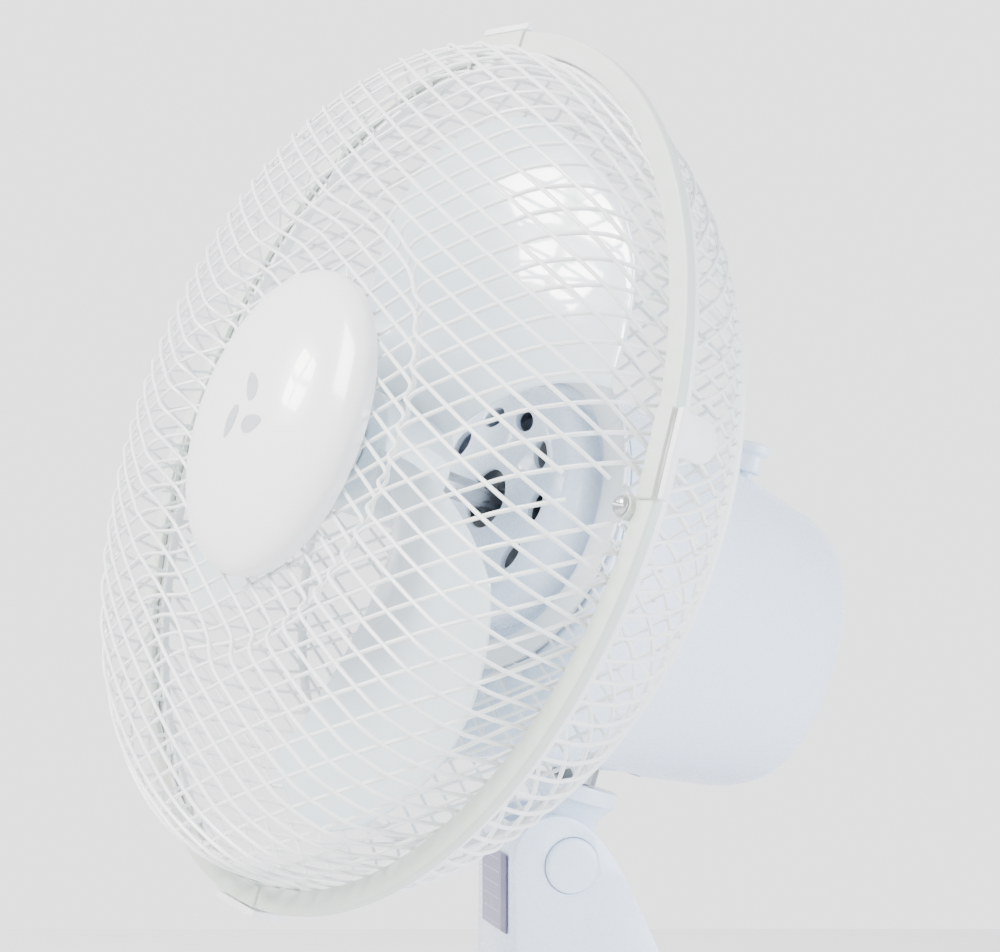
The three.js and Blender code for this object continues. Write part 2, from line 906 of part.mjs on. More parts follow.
function shield(front, hubFront, hubRear) {
  return turned(
    [
      [shaftRadius + gap, hubFront],
      [9, hubFront],
      [9, front],
      [shieldRadius, front],
      [shieldRadius, front + shieldThickness],
      [9, front + shieldThickness],
      [9, hubRear],
      [shaftRadius + gap, hubRear],
    ],
    32,
  );
}

function shaft() {
  const ridge = 2.2;
  const half = 9;
  const worm = [];
  for (let y = wheelY - half; y < wheelY + half; y += ridge * 2) {
    worm.push([wormRadius, y], [wormRadius, y + ridge], [wormRadius - 1.3, y + ridge * 1.2]);
    worm.push([wormRadius - 1.3, y + ridge * 1.8]);
  }
  return turned(
    [
      [0, shaftFront],
      [shaftRadius - 0.5, shaftFront],
      [shaftRadius, shaftFront + 0.5],
      [shaftRadius, wheelY - half - 1],
      ...worm,
      [2.5, wheelY + half + 1],
      [2.5, shaftRear],
      [0, shaftRear],
    ],
    14,
  );
}

function rotorCore() {
  return turned(
    [
      [shaftRadius + gap, statorFront],
      [rotorRadius, statorFront],
      [rotorRadius, statorRear],
      [shaftRadius + gap, statorRear],
    ],
    32,
  );
}

// ---- Gears ---------------------------------------------------------------------------------------
/** A toothed wheel on the z axis whose teeth stand between two radii. */
function toothed(root, tip, teeth, low, high) {
  const corners = Array.from({ length: 2 * teeth }, (_, i) => {
    const radius = i % 2 ? root : tip;
    return new THREE.Vector2(radius, 0).rotateAround(new THREE.Vector2(), (i * Math.PI) / teeth);
  });
  return new THREE.ExtrudeGeometry(new THREE.Shape(corners), {
    depth: high - low,
    bevelEnabled: false,
    steps: 1,
  }).translate(0, 0, low);
}

const pinionBottom = -15;
const crankGearTop = -10.5;

function wormWheel() {
  const body = join(
    toothed(wheelRadius - 1, wheelRadius, wheelTeeth, -wheelThickness / 2, wheelThickness / 2),
    post(pinionRadius, pinionBottom, 0, 0, 0, 16),
    post(2, gearboxFloor - gearboxWall - 1, gearboxTop - 1, 0, 0, 12),
  );
  return body.translate(wheelX, wheelY, 0);
}

function crank() {
  const discTop = armTop + linkClearance + 2 + crankDiscThickness;
  const offset = crankPinAt.clone().sub(crankAt);
  return join(
    toothed(crankGearRadius - 1, crankGearRadius, crankGearTeeth, crankGearTop - gearThickness, crankGearTop),
    post(crankShaftRadius, discTop - 1, crankGearTop, 0, 0, 12),
    post(crankRadius + crankPinRadius + 1, discTop - crankDiscThickness, discTop, 0, 0, 28),
    post(crankPinRadius, armTop + linkClearance, discTop - 1, offset.x, offset.y, 12),
  ).translate(crankAt.x, wheelY, 0);
}

function gearbox() {
  const low = gearboxFloor - gearboxWall;
  const bossBottom = neckPlateTop + gap;
  const ribTop = pinTop - gap;
  const webFront = neckSetback + pinHeadRadius + 0.6;
  const outside = block(boxLeft, boxRight, boxFront, boxRear, low, gearboxTop);
  const inside = block(
    boxLeft + gearboxWall,
    boxRight - gearboxWall,
    boxFront + gearboxWall,
    boxRear - gearboxWall,
    gearboxFloor,
    gearboxTop + 1,
  );
  const web = block(-bossRadius, bossRadius, webFront, webFront + 3.4, ribTop - 9, low + 1);
  const rib = block(-4, 4, neckSetback, webFront + 3.4, ribTop - 9, ribTop);
  const boss = post(bossRadius, bossBottom, ribTop, 0, neckSetback, 24);
  return cut(
    join(cut(outside, inside), web, rib, boss),
    post(pinRadius + gap, bossBottom - 1, ribTop + 1, 0, neckSetback),
    rod(wormRadius + 1, boxFront - 1, boxFront + gearboxWall + 1),
    rod(2.5 + gap, boxRear - gearboxWall - 1, boxRear + 1, 0, 0, 16),
    post(crankShaftRadius + gap, low - 1, gearboxFloor + 1, crankAt.x, wheelY, 16),
    post(2 + gap, low - 1, gearboxFloor + 1, wheelX, wheelY, 16),
  );
}

function gearboxLid() {
  const low = gearboxTop + gap;
  return cut(
    block(boxLeft, boxRight, boxFront, boxRear, low, lidTop),
    post(2.5, low - 1, lidTop + 1, wheelX, wheelY, 16),
  );
}

// ---- Guard ---------------------------------------------------------------------------------------
const bandInner = rimRadius - bandWidth;
const bandFacets = 44;
const bandFlat = bandInner * Math.cos(Math.PI / bandFacets); // to the middle of a facet inside the band
const wireRim = bandFlat - wire * Math.SQRT1_2 - gap; // the front wires pass inside, corner outwards
const bandFront = -1.2;
const bandRear = bandFront + bandThickness;

/** The front guard's depth by radius, rim first. */
const domeProfile = [
  [wireRim, bandRear + 1.2],
  [wireRim - 1.3, -13],
  [wireRim - 4.5, -20.5],
  [114, -29.4],
  [96, -34.6],
  [ridgeRadius, -domeDepth],
  [dishRadius + 3, -dishDepth - 1.4],
  [dishRadius, -dishDepth],
];

/** The rear guard's depth by radius, rim first. */
const rearProfile = [
  [rearRimRadius - 3.6, 4.1],
  [rearRimRadius - 6.6, 19],
  [rearEdgeRadius + 11, 34],
  [rearEdgeRadius, rearEdgeDepth],
  [rearRingOuter, rearRingDepth - 0.75],
];

/** Two crossing families of straight wires laid on a profile and joined where they cross. */
function wireMesh(profile, side) {
  const depth = (radius) => {
    const next = profile.findIndex(([r]) => r <= radius);
    if (next < 0) return profile.at(-1)[1];
    if (next === 0) return profile[0][1];
    const [from, to] = [profile[next - 1], profile[next]];
    return THREE.MathUtils.mapLinear(radius, from[0], to[0], from[1], to[1]);
  };
  const reach = profile[0][0];
  const rows = Math.floor((reach - 6) / wirePitch - 0.5);
  const wires = [];
  for (const family of [-1, 1]) {
    const lift = 0.35 * side * family; // one family lies on the other and is welded to it
    for (let row = -rows - 1; row <= rows; row += 1) {
      const offset = (row + 0.5) * wirePitch;
      const radii = profile.filter(([r]) => r > Math.abs(offset) + 1.5);
      const run = ([r, y]) =>
        new THREE.Vector3(Math.sqrt(r * r - offset * offset), y + lift, offset);
      const right = radii.map(run);
      const left = right.map((p) => new THREE.Vector3(-p.x, p.y, p.z)).reverse();
      const middle = new THREE.Vector3(0, depth(Math.abs(offset)) + lift, offset);
      const bowed = Math.abs(offset) > profile.at(-1)[0];
      const corners = bowed ? [...right, middle, ...left] : [...right, ...left];
      wires.push(bentWire(corners, side).rotateY(family * radians(wireAngle)));
    }
  }
  return join(...wires);
}

/** A flat or square ring about the shaft. */
function ring(inner, outer, front, rear, around = 40) {
  return turned(
    [
      [inner, front],
      [outer, front],
      [outer, rear],
      [inner, rear],
    ],
    around,
  );
}

/** Moves a geometry built at the rim's right side round to an angle. */
function aroundRim(geometry, degrees) {
  return geometry.rotateY(-radians(degrees));
}

const lockRadius = bandInner - 2.2;

function frontGuard() {
  const lug = aroundRim(rod(3.6, -6, 8, lockRadius, 0, 20), lockScrewAngle);
  const hoop = ring(wireRim - wire / 2, bandInner + 2.6, bandRear + gap, bandRear + gap + 1.2);
  return cut(join(wireMesh(domeProfile, wire), hoop), lug);
}

/** Pads that stand on the band's front, where the clips lie. */
function clipSeats() {
  const half = clipLength / 2;
  const seat = () =>
    block(bandInner + 0.6, rimRadius - 0.9, bandFront - 1, bandFront + 0.5, -half, half);
  return clipAngles.map((angle) => aroundRim(seat(), angle));
}

function rimBand() {
  const band = turned(
    [
      [bandInner, bandFront],
      [rimRadius, bandFront],
      [rimRadius, bandLip],
      [rimRadius - 1.6, bandLip],
      [rimRadius - 1.6, bandRear],
      [bandInner, bandRear],
    ],
    bandFacets,
  );
  const lug = aroundRim(rod(3.2, -3, bandLip + gap, lockRadius, 0, 20), lockScrewAngle);
  const bore = aroundRim(rod(1.6, -6, 6, lockRadius, 0, 12), lockScrewAngle);
  return cut(join(band, lug, ...clipSeats()), bore);
}

function lockScrew() {
  const head = rod(2.6, -4.7, -3.3, lockRadius, 0, 16);
  const shank = rod(1.3, -3.5, 2.6, lockRadius, 0, 12);
  return aroundRim(join(head, shank), lockScrewAngle);
}

const hoopFront = bandLip + 2 * gap; // the rear guard's hoop, behind the band
const hoopRear = hoopFront + 2.8;

function rearGuard() {
  const bare = cut(
    wireMesh(rearProfile, wire),
    rod((rearRingInner + rearRingOuter) / 2, 30, 70, 0, 0, 40),
  );
  return join(
    bare,
    ring(rearRimRadius - 5, rearRimRadius, hoopFront, hoopRear),
    ring(rearEdgeRadius - 1.6, rearEdgeRadius + 1.6, rearEdgeDepth - 1.6, rearEdgeDepth + 1.6, 56),
    ring(rearRingInner, rearRingOuter, rearRingDepth - 1.5, rearRingDepth, 48),
  );
}

function clip(degrees) {
  const half = clipLength / 2;
  const strip = bandLip - 0.8;
  const round = (clipTabTop - clipTabLow) / 2;
  const outline = new THREE.Shape();
  outline.moveTo(-half, bandFront);
  outline.lineTo(half, bandFront);
  outline.lineTo(half, strip);
  outline.lineTo(-clipTabLow, strip);
  outline.absarc(-clipTabLow - round, clipReach - round, round, 0, Math.PI, false);
  outline.lineTo(-clipTabTop, strip);
  outline.lineTo(-half, strip);
  outline.closePath();
  const lever = new THREE.ExtrudeGeometry(outline, {
    depth: clipThickness,
    bevelEnabled: false,
    steps: 1,
    curveSegments: 8,
  })
    .rotateY(Math.PI / 2)
    .translate(rimRadius + gap, 0, 0);
  const hook = block(
    rearRimRadius - clipHook,
    rimRadius + gap + 1,
    hoopRear + gap,
    clipReach - 1,
    clipTabLow + 3,
    clipTabTop - 3,
  );
  return aroundRim(join(lever, hook), degrees);
}

// ---- Centre cap ----------------------------------------------------------------------------------
const meshHalf = 0.85 * wire; // half the depth of two crossed wires
const capRear = -dishDepth - meshHalf - gap;

function centreCap() {
  const r = centreCapRadius;
  const d = centreCapDepth;
  const w = centreCapWall;
  const dome = turned(
    [
      [0, -d],
      [r * 0.45, -d + 1.1],
      [r * 0.75, -d + 3.4],
      [r * 0.92, -d + 6.4],
      [r, -d + 10.5],
      [r, capRear],
      [r - w, capRear],
      [r - w, -d + 11.5],
      [r * 0.92 - w, -d + 6.8 + w],
      [r * 0.75 - w, -d + 3.9 + w],
      [r * 0.45, -d + 1.2 + w],
      [0, -d + w],
    ],
    36,
  );
  const stud = rod(4.5, -d + w - 0.5, capRear, 0, 0, 16);
  return cut(join(dome, stud), rod(1.9, -d + w + 2, capRear + 1, 0, 0, 12));
}

const retainerFront = -dishDepth + meshHalf + gap;

function capRetainer() {
  return cut(
    ring(1, 26, retainerFront, retainerFront + 2.2, 32),
    rod(1.9, retainerFront - 1, retainerFront + 4, 0, 0, 12),
  );
}

function capScrew() {
  const seat = retainerFront + 2.2 + gap;
  return join(rod(3.4, seat, seat + 1.8, 0, 0, 16), rod(1.6, capRear - 5, seat + 0.5, 0, 0, 12));
}

// ---- Blades --------------------------------------------------------------------------------------
/** One blade: a box whose grid is laid out by radius, angle and thickness. */
function blade(index) {
  const geometry = new THREE.BoxGeometry(1, 1, 1, 6, 8, 1);
  const position = geometry.attributes.position;
  const root = hubRadius - 2;
  for (let i = 0; i < position.count; i += 1) {
    const out = position.getX(i) + 0.5; // 0 at the hub, 1 at the tip
    const lead = position.getY(i) + 0.5; // 0 at the rear edge, 1 at the front edge
    const skin = -position.getZ(i) * bladeThickness * (1 - 0.35 * out);
    const frontCorner = 0.21 * Math.max(0, (lead - 0.65) / 0.35) ** 2;
    const rearCorner = 0.16 * Math.max(0, (0.33 - lead) / 0.33) ** 2;
    const radius = root + out * (bladeTip - root) * (1 - frontCorner - rearCorner);
    const start = bladeStart + (index * 360) / bladeCount - bladeSweep * out;
    const angle = radians(start + lead * bladeSpan);
    const twist = bladeTwist * (1 - out) * (1 - 2 * lead);
    const camber = 3 * Math.sin(Math.PI * lead) * out;
    const y = THREE.MathUtils.lerp(bladeRear, bladeFront, lead) + twist + camber + skin;
    position.setXYZ(i, radius * Math.cos(angle), y, radius * Math.sin(angle));
  }
  return geometry;
}

function fanBlades() {
  const hub = turned(
    [
      [0, hubFront],
      [hubRadius - 2, hubFront],
      [hubRadius, hubFront + 2],
      [hubRadius, hubRear],
      [0, hubRear],
    ],
    32,
  );
  const blades = Array.from({ length: bladeCount }, (_, i) => blade(i));
  const ledge = rod(hubRadius - 2.4, hubFront + 5, hubRear + 1, 0, 0, 32);
  const core = rod(8, hubFront + 1, hubRear - 1);
  const bore = rod(shaftRadius + gap, hubFront - 1, hubRear + 1);
  return cut(join(cut(join(hub, ...blades), ledge), core), bore);
}

function bladeNut() {
  const front = hubFront - gap - nutLength;
  return cut(
    turned(
      [
        [0, front],
        [nutRadius - 4, front + 1],
        [nutRadius - 1.5, front + 4],
        [nutRadius, hubFront - gap],
        [0, hubFront - gap],
      ],
      20,
    ),
    rod(shaftRadius + gap, shaftFront - gap, hubFront + 1),
  );
}

// ---- Assembly ------------------------------------------------------------------------------------
const feet = [45, 135, 225, 315].map((angle, i) =>
  piece(
    `foot_${i + 1}`,
    "rubber",
    foot(footCircle * Math.cos(radians(angle)), footCircle * Math.sin(radians(angle))),
  ),
);

const buttons = ["button_off", "button_low", "button_high"].map((name, i) =>
  piece(name, "whitePlastic", button(buttonPlaces[i])),
);

const base = group(
  piece("base_shell", "whitePlastic", baseShell()),
  piece("base_floor", "whitePlastic", baseFloor()),
  piece("ballast_plate", "castAlloy", ballast()),
  piece("foot_centre", "rubber", foot(0, 0)),
  ...feet,
  piece("switch_block", "blackPlastic", switchBlock()),
  ...buttons,
  piece("capacitor", "blackPlastic", capacitor()),
  piece("cord_gland", "blackPlastic", cordGland()),
  piece("column", "whitePlastic", column()),
  piece("column_screw_left", "steel", columnScrew(columnScrewPlaces[0])),
  piece("column_screw_right", "steel", columnScrew(columnScrewPlaces[1])),
  piece("rating_plate", "greyPlate", ratingPlate()),
  piece("pivot_cap_right", "whitePlastic", pivotCap(1)),
  piece("pivot_cap_left", "whitePlastic", pivotCap(-1)),
);

const tiltHardware = group(
  piece("tilt_bolt", "steel", tiltBolt()),
  piece("tilt_nut", "steel", tiltNut()),
  piece("tilt_washer_right", "nylon", washer(1)),
  piece("tilt_washer_left", "nylon", washer(-1)),
);
tiltHardware.position.set(0, pivotY, pivotHeight);

const clips = clipAngles.map((angle, i) => piece(`rim_clip_${i + 1}`, "clipPlastic", clip(angle)));

const head = group(
  piece("motor_housing", "whitePlastic", motorHousing()),
  piece("motor_cover", "whitePlastic", motorCover()),
  piece("stop_knob", "whitePlastic", knob()),
  piece("stator_core", "lamination", stator()),
  piece("winding_front", "copper", winding(frontShieldRear + gap)),
  piece("winding_rear", "copper", winding(statorRear + gap)),
  piece("bearing_shield_front", "castAlloy", shield(frontShieldRear - shieldThickness, 50, frontShieldRear)),
  piece(
    "bearing_shield_rear",
    "castAlloy",
    shield(rearShieldFront, rearShieldFront, rearShieldFront + shieldThickness),
  ),
  piece("motor_shaft", "steel", shaft()),
  piece("rotor_core", "lamination", rotorCore()),
  piece("worm_wheel", "nylon", wormWheel()),
  piece("crank", "nylon", crank()),
  piece("gearbox_casting", "castAlloy", gearbox()),
  piece("gearbox_lid", "castAlloy", gearboxLid()),
  piece("front_guard", "whiteWire", frontGuard()),
  piece("rim_band", "bandPlastic", rimBand()),
  piece("lock_screw", "steel", lockScrew()),
  piece("rear_guard", "whiteWire", rearGuard()),
  piece("centre_cap", "capPlastic", centreCap()),
  piece("cap_retainer", "whitePlastic", capRetainer()),
  piece("cap_screw", "steel", capScrew()),
  piece("fan_blades", "bladePlastic", fanBlades()),
  piece("blade_nut", "bladePlastic", bladeNut()),
  ...clips,
);
head.position.set(0, -neckSetback, 0);

const swung = group(head);
swung.rotation.z = swing;

const aboutPin = group(
  piece("neck", "whitePlastic", neck()),
  piece("swivel_pin", "steel", swivelPin()),
  piece("link_arm", "steel", linkArm()),
  swung,
);
aboutPin.position.set(0, 0, neckDrop);

const tilted = group(aboutPin);
tilted.position.set(0, pivotY, pivotHeight);
tilted.rotation.x = -radians(tiltRest);

export default group(base, tiltHardware, tilted);
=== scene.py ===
# %% [markdown]
# # A desk fan, piece by piece
#
# The fan stands on a round base with a slotted column. A neck tilts in the slot, and the head swings on a
# pin in the neck. The head holds a motor in a smooth housing, three blades, and a cage of two wire guards
# that meet in a plastic band. The engineering model gives every size and every joint. This notebook
# gives each piece its fine surface and its finish.
#
# The first cell loads the engineering model as a fixed frame. Everything after it reads places from there.

# %% Load the frame
import json
import math

import bmesh
import bpy
import numpy as np
from mathutils import Matrix


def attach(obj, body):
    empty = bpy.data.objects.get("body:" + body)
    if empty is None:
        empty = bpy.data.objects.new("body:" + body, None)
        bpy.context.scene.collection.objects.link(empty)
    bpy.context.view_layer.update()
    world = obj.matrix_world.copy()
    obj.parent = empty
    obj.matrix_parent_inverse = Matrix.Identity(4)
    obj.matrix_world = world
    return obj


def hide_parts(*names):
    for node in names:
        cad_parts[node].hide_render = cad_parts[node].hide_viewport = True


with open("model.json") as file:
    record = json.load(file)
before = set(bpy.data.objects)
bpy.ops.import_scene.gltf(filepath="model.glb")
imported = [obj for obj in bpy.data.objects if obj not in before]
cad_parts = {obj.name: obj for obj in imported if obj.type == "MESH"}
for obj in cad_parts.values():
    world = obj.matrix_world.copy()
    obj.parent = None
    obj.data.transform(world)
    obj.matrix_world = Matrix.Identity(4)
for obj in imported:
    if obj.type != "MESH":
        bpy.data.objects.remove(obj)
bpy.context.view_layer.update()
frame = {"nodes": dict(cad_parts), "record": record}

MM = 0.001
joints = {joint["name"]: joint for joint in frame["record"]["behaviour"]["joints"]}

# %% [markdown]
# The head is tilted and swung, so its round pieces are awkward to describe in the fan's upright frame. Two
# joints give the head a frame of its own: the blades spin about the shaft, and the head swings about an axis
# that is square to it. In the head's frame x points to its right side, y backwards along the shaft and z up,
# and the origin is the middle of the guard's rim. Shapes are written in millimetres.

# %% The head's own frame
rim_centre = np.array(joints["spin"]["pos_m"])
head_back = -np.array(joints["spin"]["axis"])
head_up = np.array(joints["swing"]["axis"])
head_right = np.cross(head_back, head_up)
head_axes = np.array([head_right, head_back, head_up])
tilt_axis = np.array(joints["tilt"]["pos_m"]) / MM


def of_head(points):
    """Points in the head's frame, in millimetres, as points of the fan in metres: a turn and a shift."""
    return points * MM @ head_axes + rim_centre


def of_base(points):
    """Points in the fan's upright frame, in millimetres, as metres."""
    return points * MM


lean = math.atan2(head_up[1], head_up[2])
neck_turn = np.array([[1, 0, 0], [0, math.cos(lean), -math.sin(lean)], [0, math.sin(lean), math.cos(lean)]])


def of_neck(points):
    """Points about the tilt axis that lean back with the neck, in millimetres, as points in metres."""
    return (points @ neck_turn + tilt_axis) * MM


print("rim centre", rim_centre.round(4), "shaft leans", round(math.degrees(math.asin(-head_back[2])), 2))

# %% [markdown]
# Every piece is one or more grids: a surface is a function of two parameters, worked out for all its points at
# once. A grid can wrap round in either direction, as a lathe's does, and its open ends can be filled with a fan
# of triangles. One helper turns grids into an object, merges the points where a grid meets itself, and turns
# every face outwards.

# %% Grids into objects
def grid(points, wrap_rows=False, wrap_columns=True, filled=False):
    """Vertices and faces of a grid of points. Each face joins a point to its next neighbours both ways."""
    rows, columns = points.shape[:2]
    index = np.arange(rows * columns).reshape(rows, columns)
    if wrap_rows:
        index = np.vstack([index, index[:1]])
    if wrap_columns:
        index = np.hstack([index, index[:, :1]])
    corners = [index[:-1, :-1], index[:-1, 1:], index[1:, 1:], index[1:, :-1]]
    faces = np.stack(corners, -1).reshape(-1, 4).tolist()
    vertices = points.reshape(-1, 3)
    if filled:
        middles = [points[0].mean(0), points[-1].mean(0)]
        for row, middle in zip((index[0], index[-1][::-1]), (len(vertices), len(vertices) + 1)):
            faces += np.stack([row[:-1], row[1:], np.full(len(row) - 1, middle)], -1).tolist()
        vertices = np.vstack([vertices, middles])
    return vertices, faces


def mesh_of(name, parts, weld=1e-6):
    """One mesh from several grids, with doubled points merged and faces turned outwards."""
    vertices, faces, count = [], [], 0
    for points, corners in parts:
        vertices.append(points)
        faces += [[corner + count for corner in face] for face in corners] if count else corners
        count += len(points)
    mesh = bpy.data.meshes.new(name)
    mesh.from_pydata(np.vstack(vertices).tolist(), [], faces)
    work = bmesh.new()
    work.from_mesh(mesh)
    bmesh.ops.remove_doubles(work, verts=work.verts, dist=weld)
    bmesh.ops.dissolve_degenerate(work, edges=work.edges, dist=weld)
    bmesh.ops.recalc_face_normals(work, faces=work.faces)
    work.to_mesh(mesh)
    work.free()
    return mesh


def finish_shading(mesh, sharp):
    """Smooth shading that breaks at edges sharper than an angle in degrees."""
    mesh.polygons.foreach_set("use_smooth", np.ones(len(mesh.polygons), bool))
    mesh.set_sharp_from_angle(angle=math.radians(sharp))


def make(name, parts, body, slot, replaces=(), sharp=40, material=None):
    """An object from grids, riding on a body of the frame, in its slot's finish unless it has its own."""
    mesh = mesh_of(name, parts)
    finish_shading(mesh, sharp)
    mesh.materials.append(material or finishes[slot])
    made = bpy.data.objects.new(name, mesh)
    bpy.context.collection.objects.link(made)
    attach(made, body)
    if replaces:
        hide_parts(*replaces)
    print(f"{name}: {len(mesh.polygons)} faces")
    return made


def carve(piece, cutters, sharp=40, bevel=0.0, operation="DIFFERENCE", overlapping=False):
    """Cuts closed grids out of a piece, or keeps what they share, then rounds the new edges a little."""
    tool = bpy.data.objects.new("tool", mesh_of("tool", cutters))
    bpy.context.collection.objects.link(tool)
    cut = piece.modifiers.new("cut", "BOOLEAN")
    cut.operation = operation
    cut.solver = "EXACT"
    cut.use_self = overlapping
    cut.object = tool
    if bevel:
        soft = piece.modifiers.new("soft", "BEVEL")
        soft.width = bevel * MM
        soft.segments = 2
        soft.limit_method = "ANGLE"
        soft.angle_limit = math.radians(50)
    shown = piece.evaluated_get(bpy.context.evaluated_depsgraph_get())
    carved = bpy.data.meshes.new_from_object(shown)
    piece.modifiers.clear()
    piece.data = carved
    bpy.data.objects.remove(tool)
    finish_shading(carved, sharp)
    print(f"{piece.name} carved: {len(carved.polygons)} faces")


# %% [markdown]
# Three kinds of surface make most of the fan: an outline turned about an axis, as a lathe does; a round wire
# along a line; and a loft through squarish sections. Real mouldings have no sharp corners, so one helper
# rounds the corners of any outline first.

# %% Outlines, lathes, wires and lofts
def soften(points, radius, steps=5, closed=False):
    """Rounds each corner: a quadratic curve from a point just before the corner to one just after it."""
    points = np.asarray(points, float)

    def towards(others):
        run = others - points
        length = np.linalg.norm(run, axis=1, keepdims=True)
        return points + run / np.maximum(length, 1e-9) * np.minimum(radius, 0.45 * length)

    before = towards(np.roll(points, 1, 0))
    after = towards(np.roll(points, -1, 0))
    t = np.linspace(0, 1, steps)[:, None, None]
    curve = (1 - t) ** 2 * before + 2 * t * (1 - t) * points + t**2 * after
    curve = curve.transpose(1, 0, 2).reshape(-1, points.shape[1])
    return curve if closed else np.vstack([points[:1], curve[steps:-steps], points[-1:]])


def circle(around):
    """Cosines and sines of equal steps round a circle."""
    angle = np.arange(around) * 2 * math.pi / around
    return np.cos(angle), np.sin(angle)


def turned(outline, around=96, closed=False, place=of_head):
    """A lathe about the shaft: each [radius, depth] of the outline goes round the y axis."""
    outline = np.asarray(outline, float)
    c, s = circle(around)
    r, y = outline[:, :1], outline[:, 1:]
    points = np.stack([r * c, y + 0 * c, r * s], -1)
    return grid(place(points), wrap_rows=closed)


def upright(outline, around=96, closed=False, x=0.0, y=0.0, place=of_base):
    """A lathe about a vertical axis through (x, y): each outline point is [radius, height]."""
    outline = np.asarray(outline, float)
    c, s = circle(around)
    r, z = outline[:, :1], outline[:, 1:]
    points = np.stack([x + r * c, y + r * s, z + 0 * c], -1)
    return grid(place(points), wrap_rows=closed)


def across(outline, around=64, closed=False, place=of_base, x=0.0, y=0.0, z=0.0):
    """A lathe about an axis along x through (y, z): each outline point is [radius, distance along x]."""
    outline = np.asarray(outline, float)
    c, s = circle(around)
    r, d = outline[:, :1], outline[:, 1:]
    points = np.stack([x + d + 0 * c, y + r * c, z + r * s], -1)
    return grid(place(points), wrap_rows=closed)


def squared(power, around):
    """A superellipse: the cosines and sines of a circle raised to 2 / power, which squares it off."""
    c, s = circle(around)
    square = lambda v: np.sign(v) * np.abs(v) ** (2 / power)
    return square(c), square(s)


def box_grid(x0, x1, y0, y1, z0, z1, place=of_base, power=14, around=48, edge=0.6):
    """A block with softened edges: a superellipse section that pulls in a little at both ends."""
    c, s = squared(power, around)
    heights = np.array([z0, z0 + 0.3 * edge, z0 + edge, z1 - edge, z1 - 0.3 * edge, z1])
    inset = np.array([edge, 0.3 * edge, 0, 0, 0.3 * edge, edge])[:, None]
    x = (x0 + x1) / 2 + ((x1 - x0) / 2 - inset) * c
    y = (y0 + y1) / 2 + ((y1 - y0) / 2 - inset) * s
    return grid(place(np.stack([x, y, heights[:, None] + 0 * c], -1)), filled=True)


def tube(line, normals, radius, sides=8, place=of_head, closed=False):
    """A round wire: at each point of a line, a circle in the plane of the normal and the sideways direction."""
    ahead = np.roll(line, -1, 0) - np.roll(line, 1, 0)
    if not closed:
        ahead[0] = line[1] - line[0]
        ahead[-1] = line[-1] - line[-2]
    ahead /= np.linalg.norm(ahead, axis=1, keepdims=True)
    side = np.cross(ahead, normals)
    side /= np.linalg.norm(side, axis=1, keepdims=True)
    up = np.cross(side, ahead)
    c, s = circle(sides)
    ring = c[None, :, None] * up[:, None] + s[None, :, None] * side[:, None]
    points = line[:, None] + radius * ring
    return grid(place(points), wrap_rows=closed, filled=not closed)


def hoop(radius, depth, wire, around=128, sides=10):
    """A wire ring about the shaft: a small circle turned about the y axis."""
    c, s = circle(sides)
    return turned(np.stack([radius + wire / 2 * c, depth + wire / 2 * s], -1), around, closed=True)


print("helpers ready")

# %% [markdown]
# ## Finishes
#
# Moulded plastic is never one flat colour. It has a faint mottle from the way the melt flowed, a very fine
# grain from the mould, and a film of dust where it faces up. These effects are shared, so each is a node
# group that is built once: `moulded` gives colour, roughness and height, `brushed` gives the fine
# scratches of rolled or turned metal.

# %% Node groups
dust_colour = (0.62, 0.6, 0.56, 1.0)


def group_of(name, inputs, outputs, fill):
    """A node group with named sockets, whose nodes `fill` makes."""
    tree = bpy.data.node_groups.new(name, "ShaderNodeTree")
    for label, kind in inputs:
        tree.interface.new_socket(name=label, in_out="INPUT", socket_type=kind)
    for label, kind in outputs:
        tree.interface.new_socket(name=label, in_out="OUTPUT", socket_type=kind)
    fill(tree, tree.nodes.new("NodeGroupInput").outputs, tree.nodes.new("NodeGroupOutput").inputs)
    return tree


def noise(tree, place, scale, detail=2.0, roughness=0.5):
    """Value noise at a place; scale is a number or a socket."""
    node = tree.nodes.new("ShaderNodeTexNoise")
    node.inputs["Detail"].default_value = detail
    node.inputs["Roughness"].default_value = roughness
    tree.links.new(place, node.inputs["Vector"])
    feed(tree, node.inputs["Scale"], scale)
    return node.outputs["Fac"]


def feed(tree, socket, value):
    """Links a socket into an input, or sets a number on it."""
    if isinstance(value, bpy.types.NodeSocket):
        tree.links.new(value, socket)
    else:
        socket.default_value = value


def spread(tree, value, low, high, to_low, to_high):
    """Maps a value from one range to another, held at both ends."""
    node = tree.nodes.new("ShaderNodeMapRange")
    for socket, number in zip(node.inputs[:5], (value, low, high, to_low, to_high)):
        feed(tree, socket, number)
    return node.outputs["Result"]


def blend_colour(tree, share, first, second):
    """Mixes two colours by a share."""
    node = tree.nodes.new("ShaderNodeMix")
    node.data_type = "RGBA"
    feed(tree, node.inputs[0], share)
    feed(tree, node.inputs[6], first)
    feed(tree, node.inputs[7], second)
    return node.outputs[2]


def maths(tree, operation, first, second):
    """One arithmetic step on two numbers or sockets."""
    node = tree.nodes.new("ShaderNodeMath")
    node.operation = operation
    feed(tree, node.inputs[0], first)
    feed(tree, node.inputs[1], second)
    return node.outputs[0]


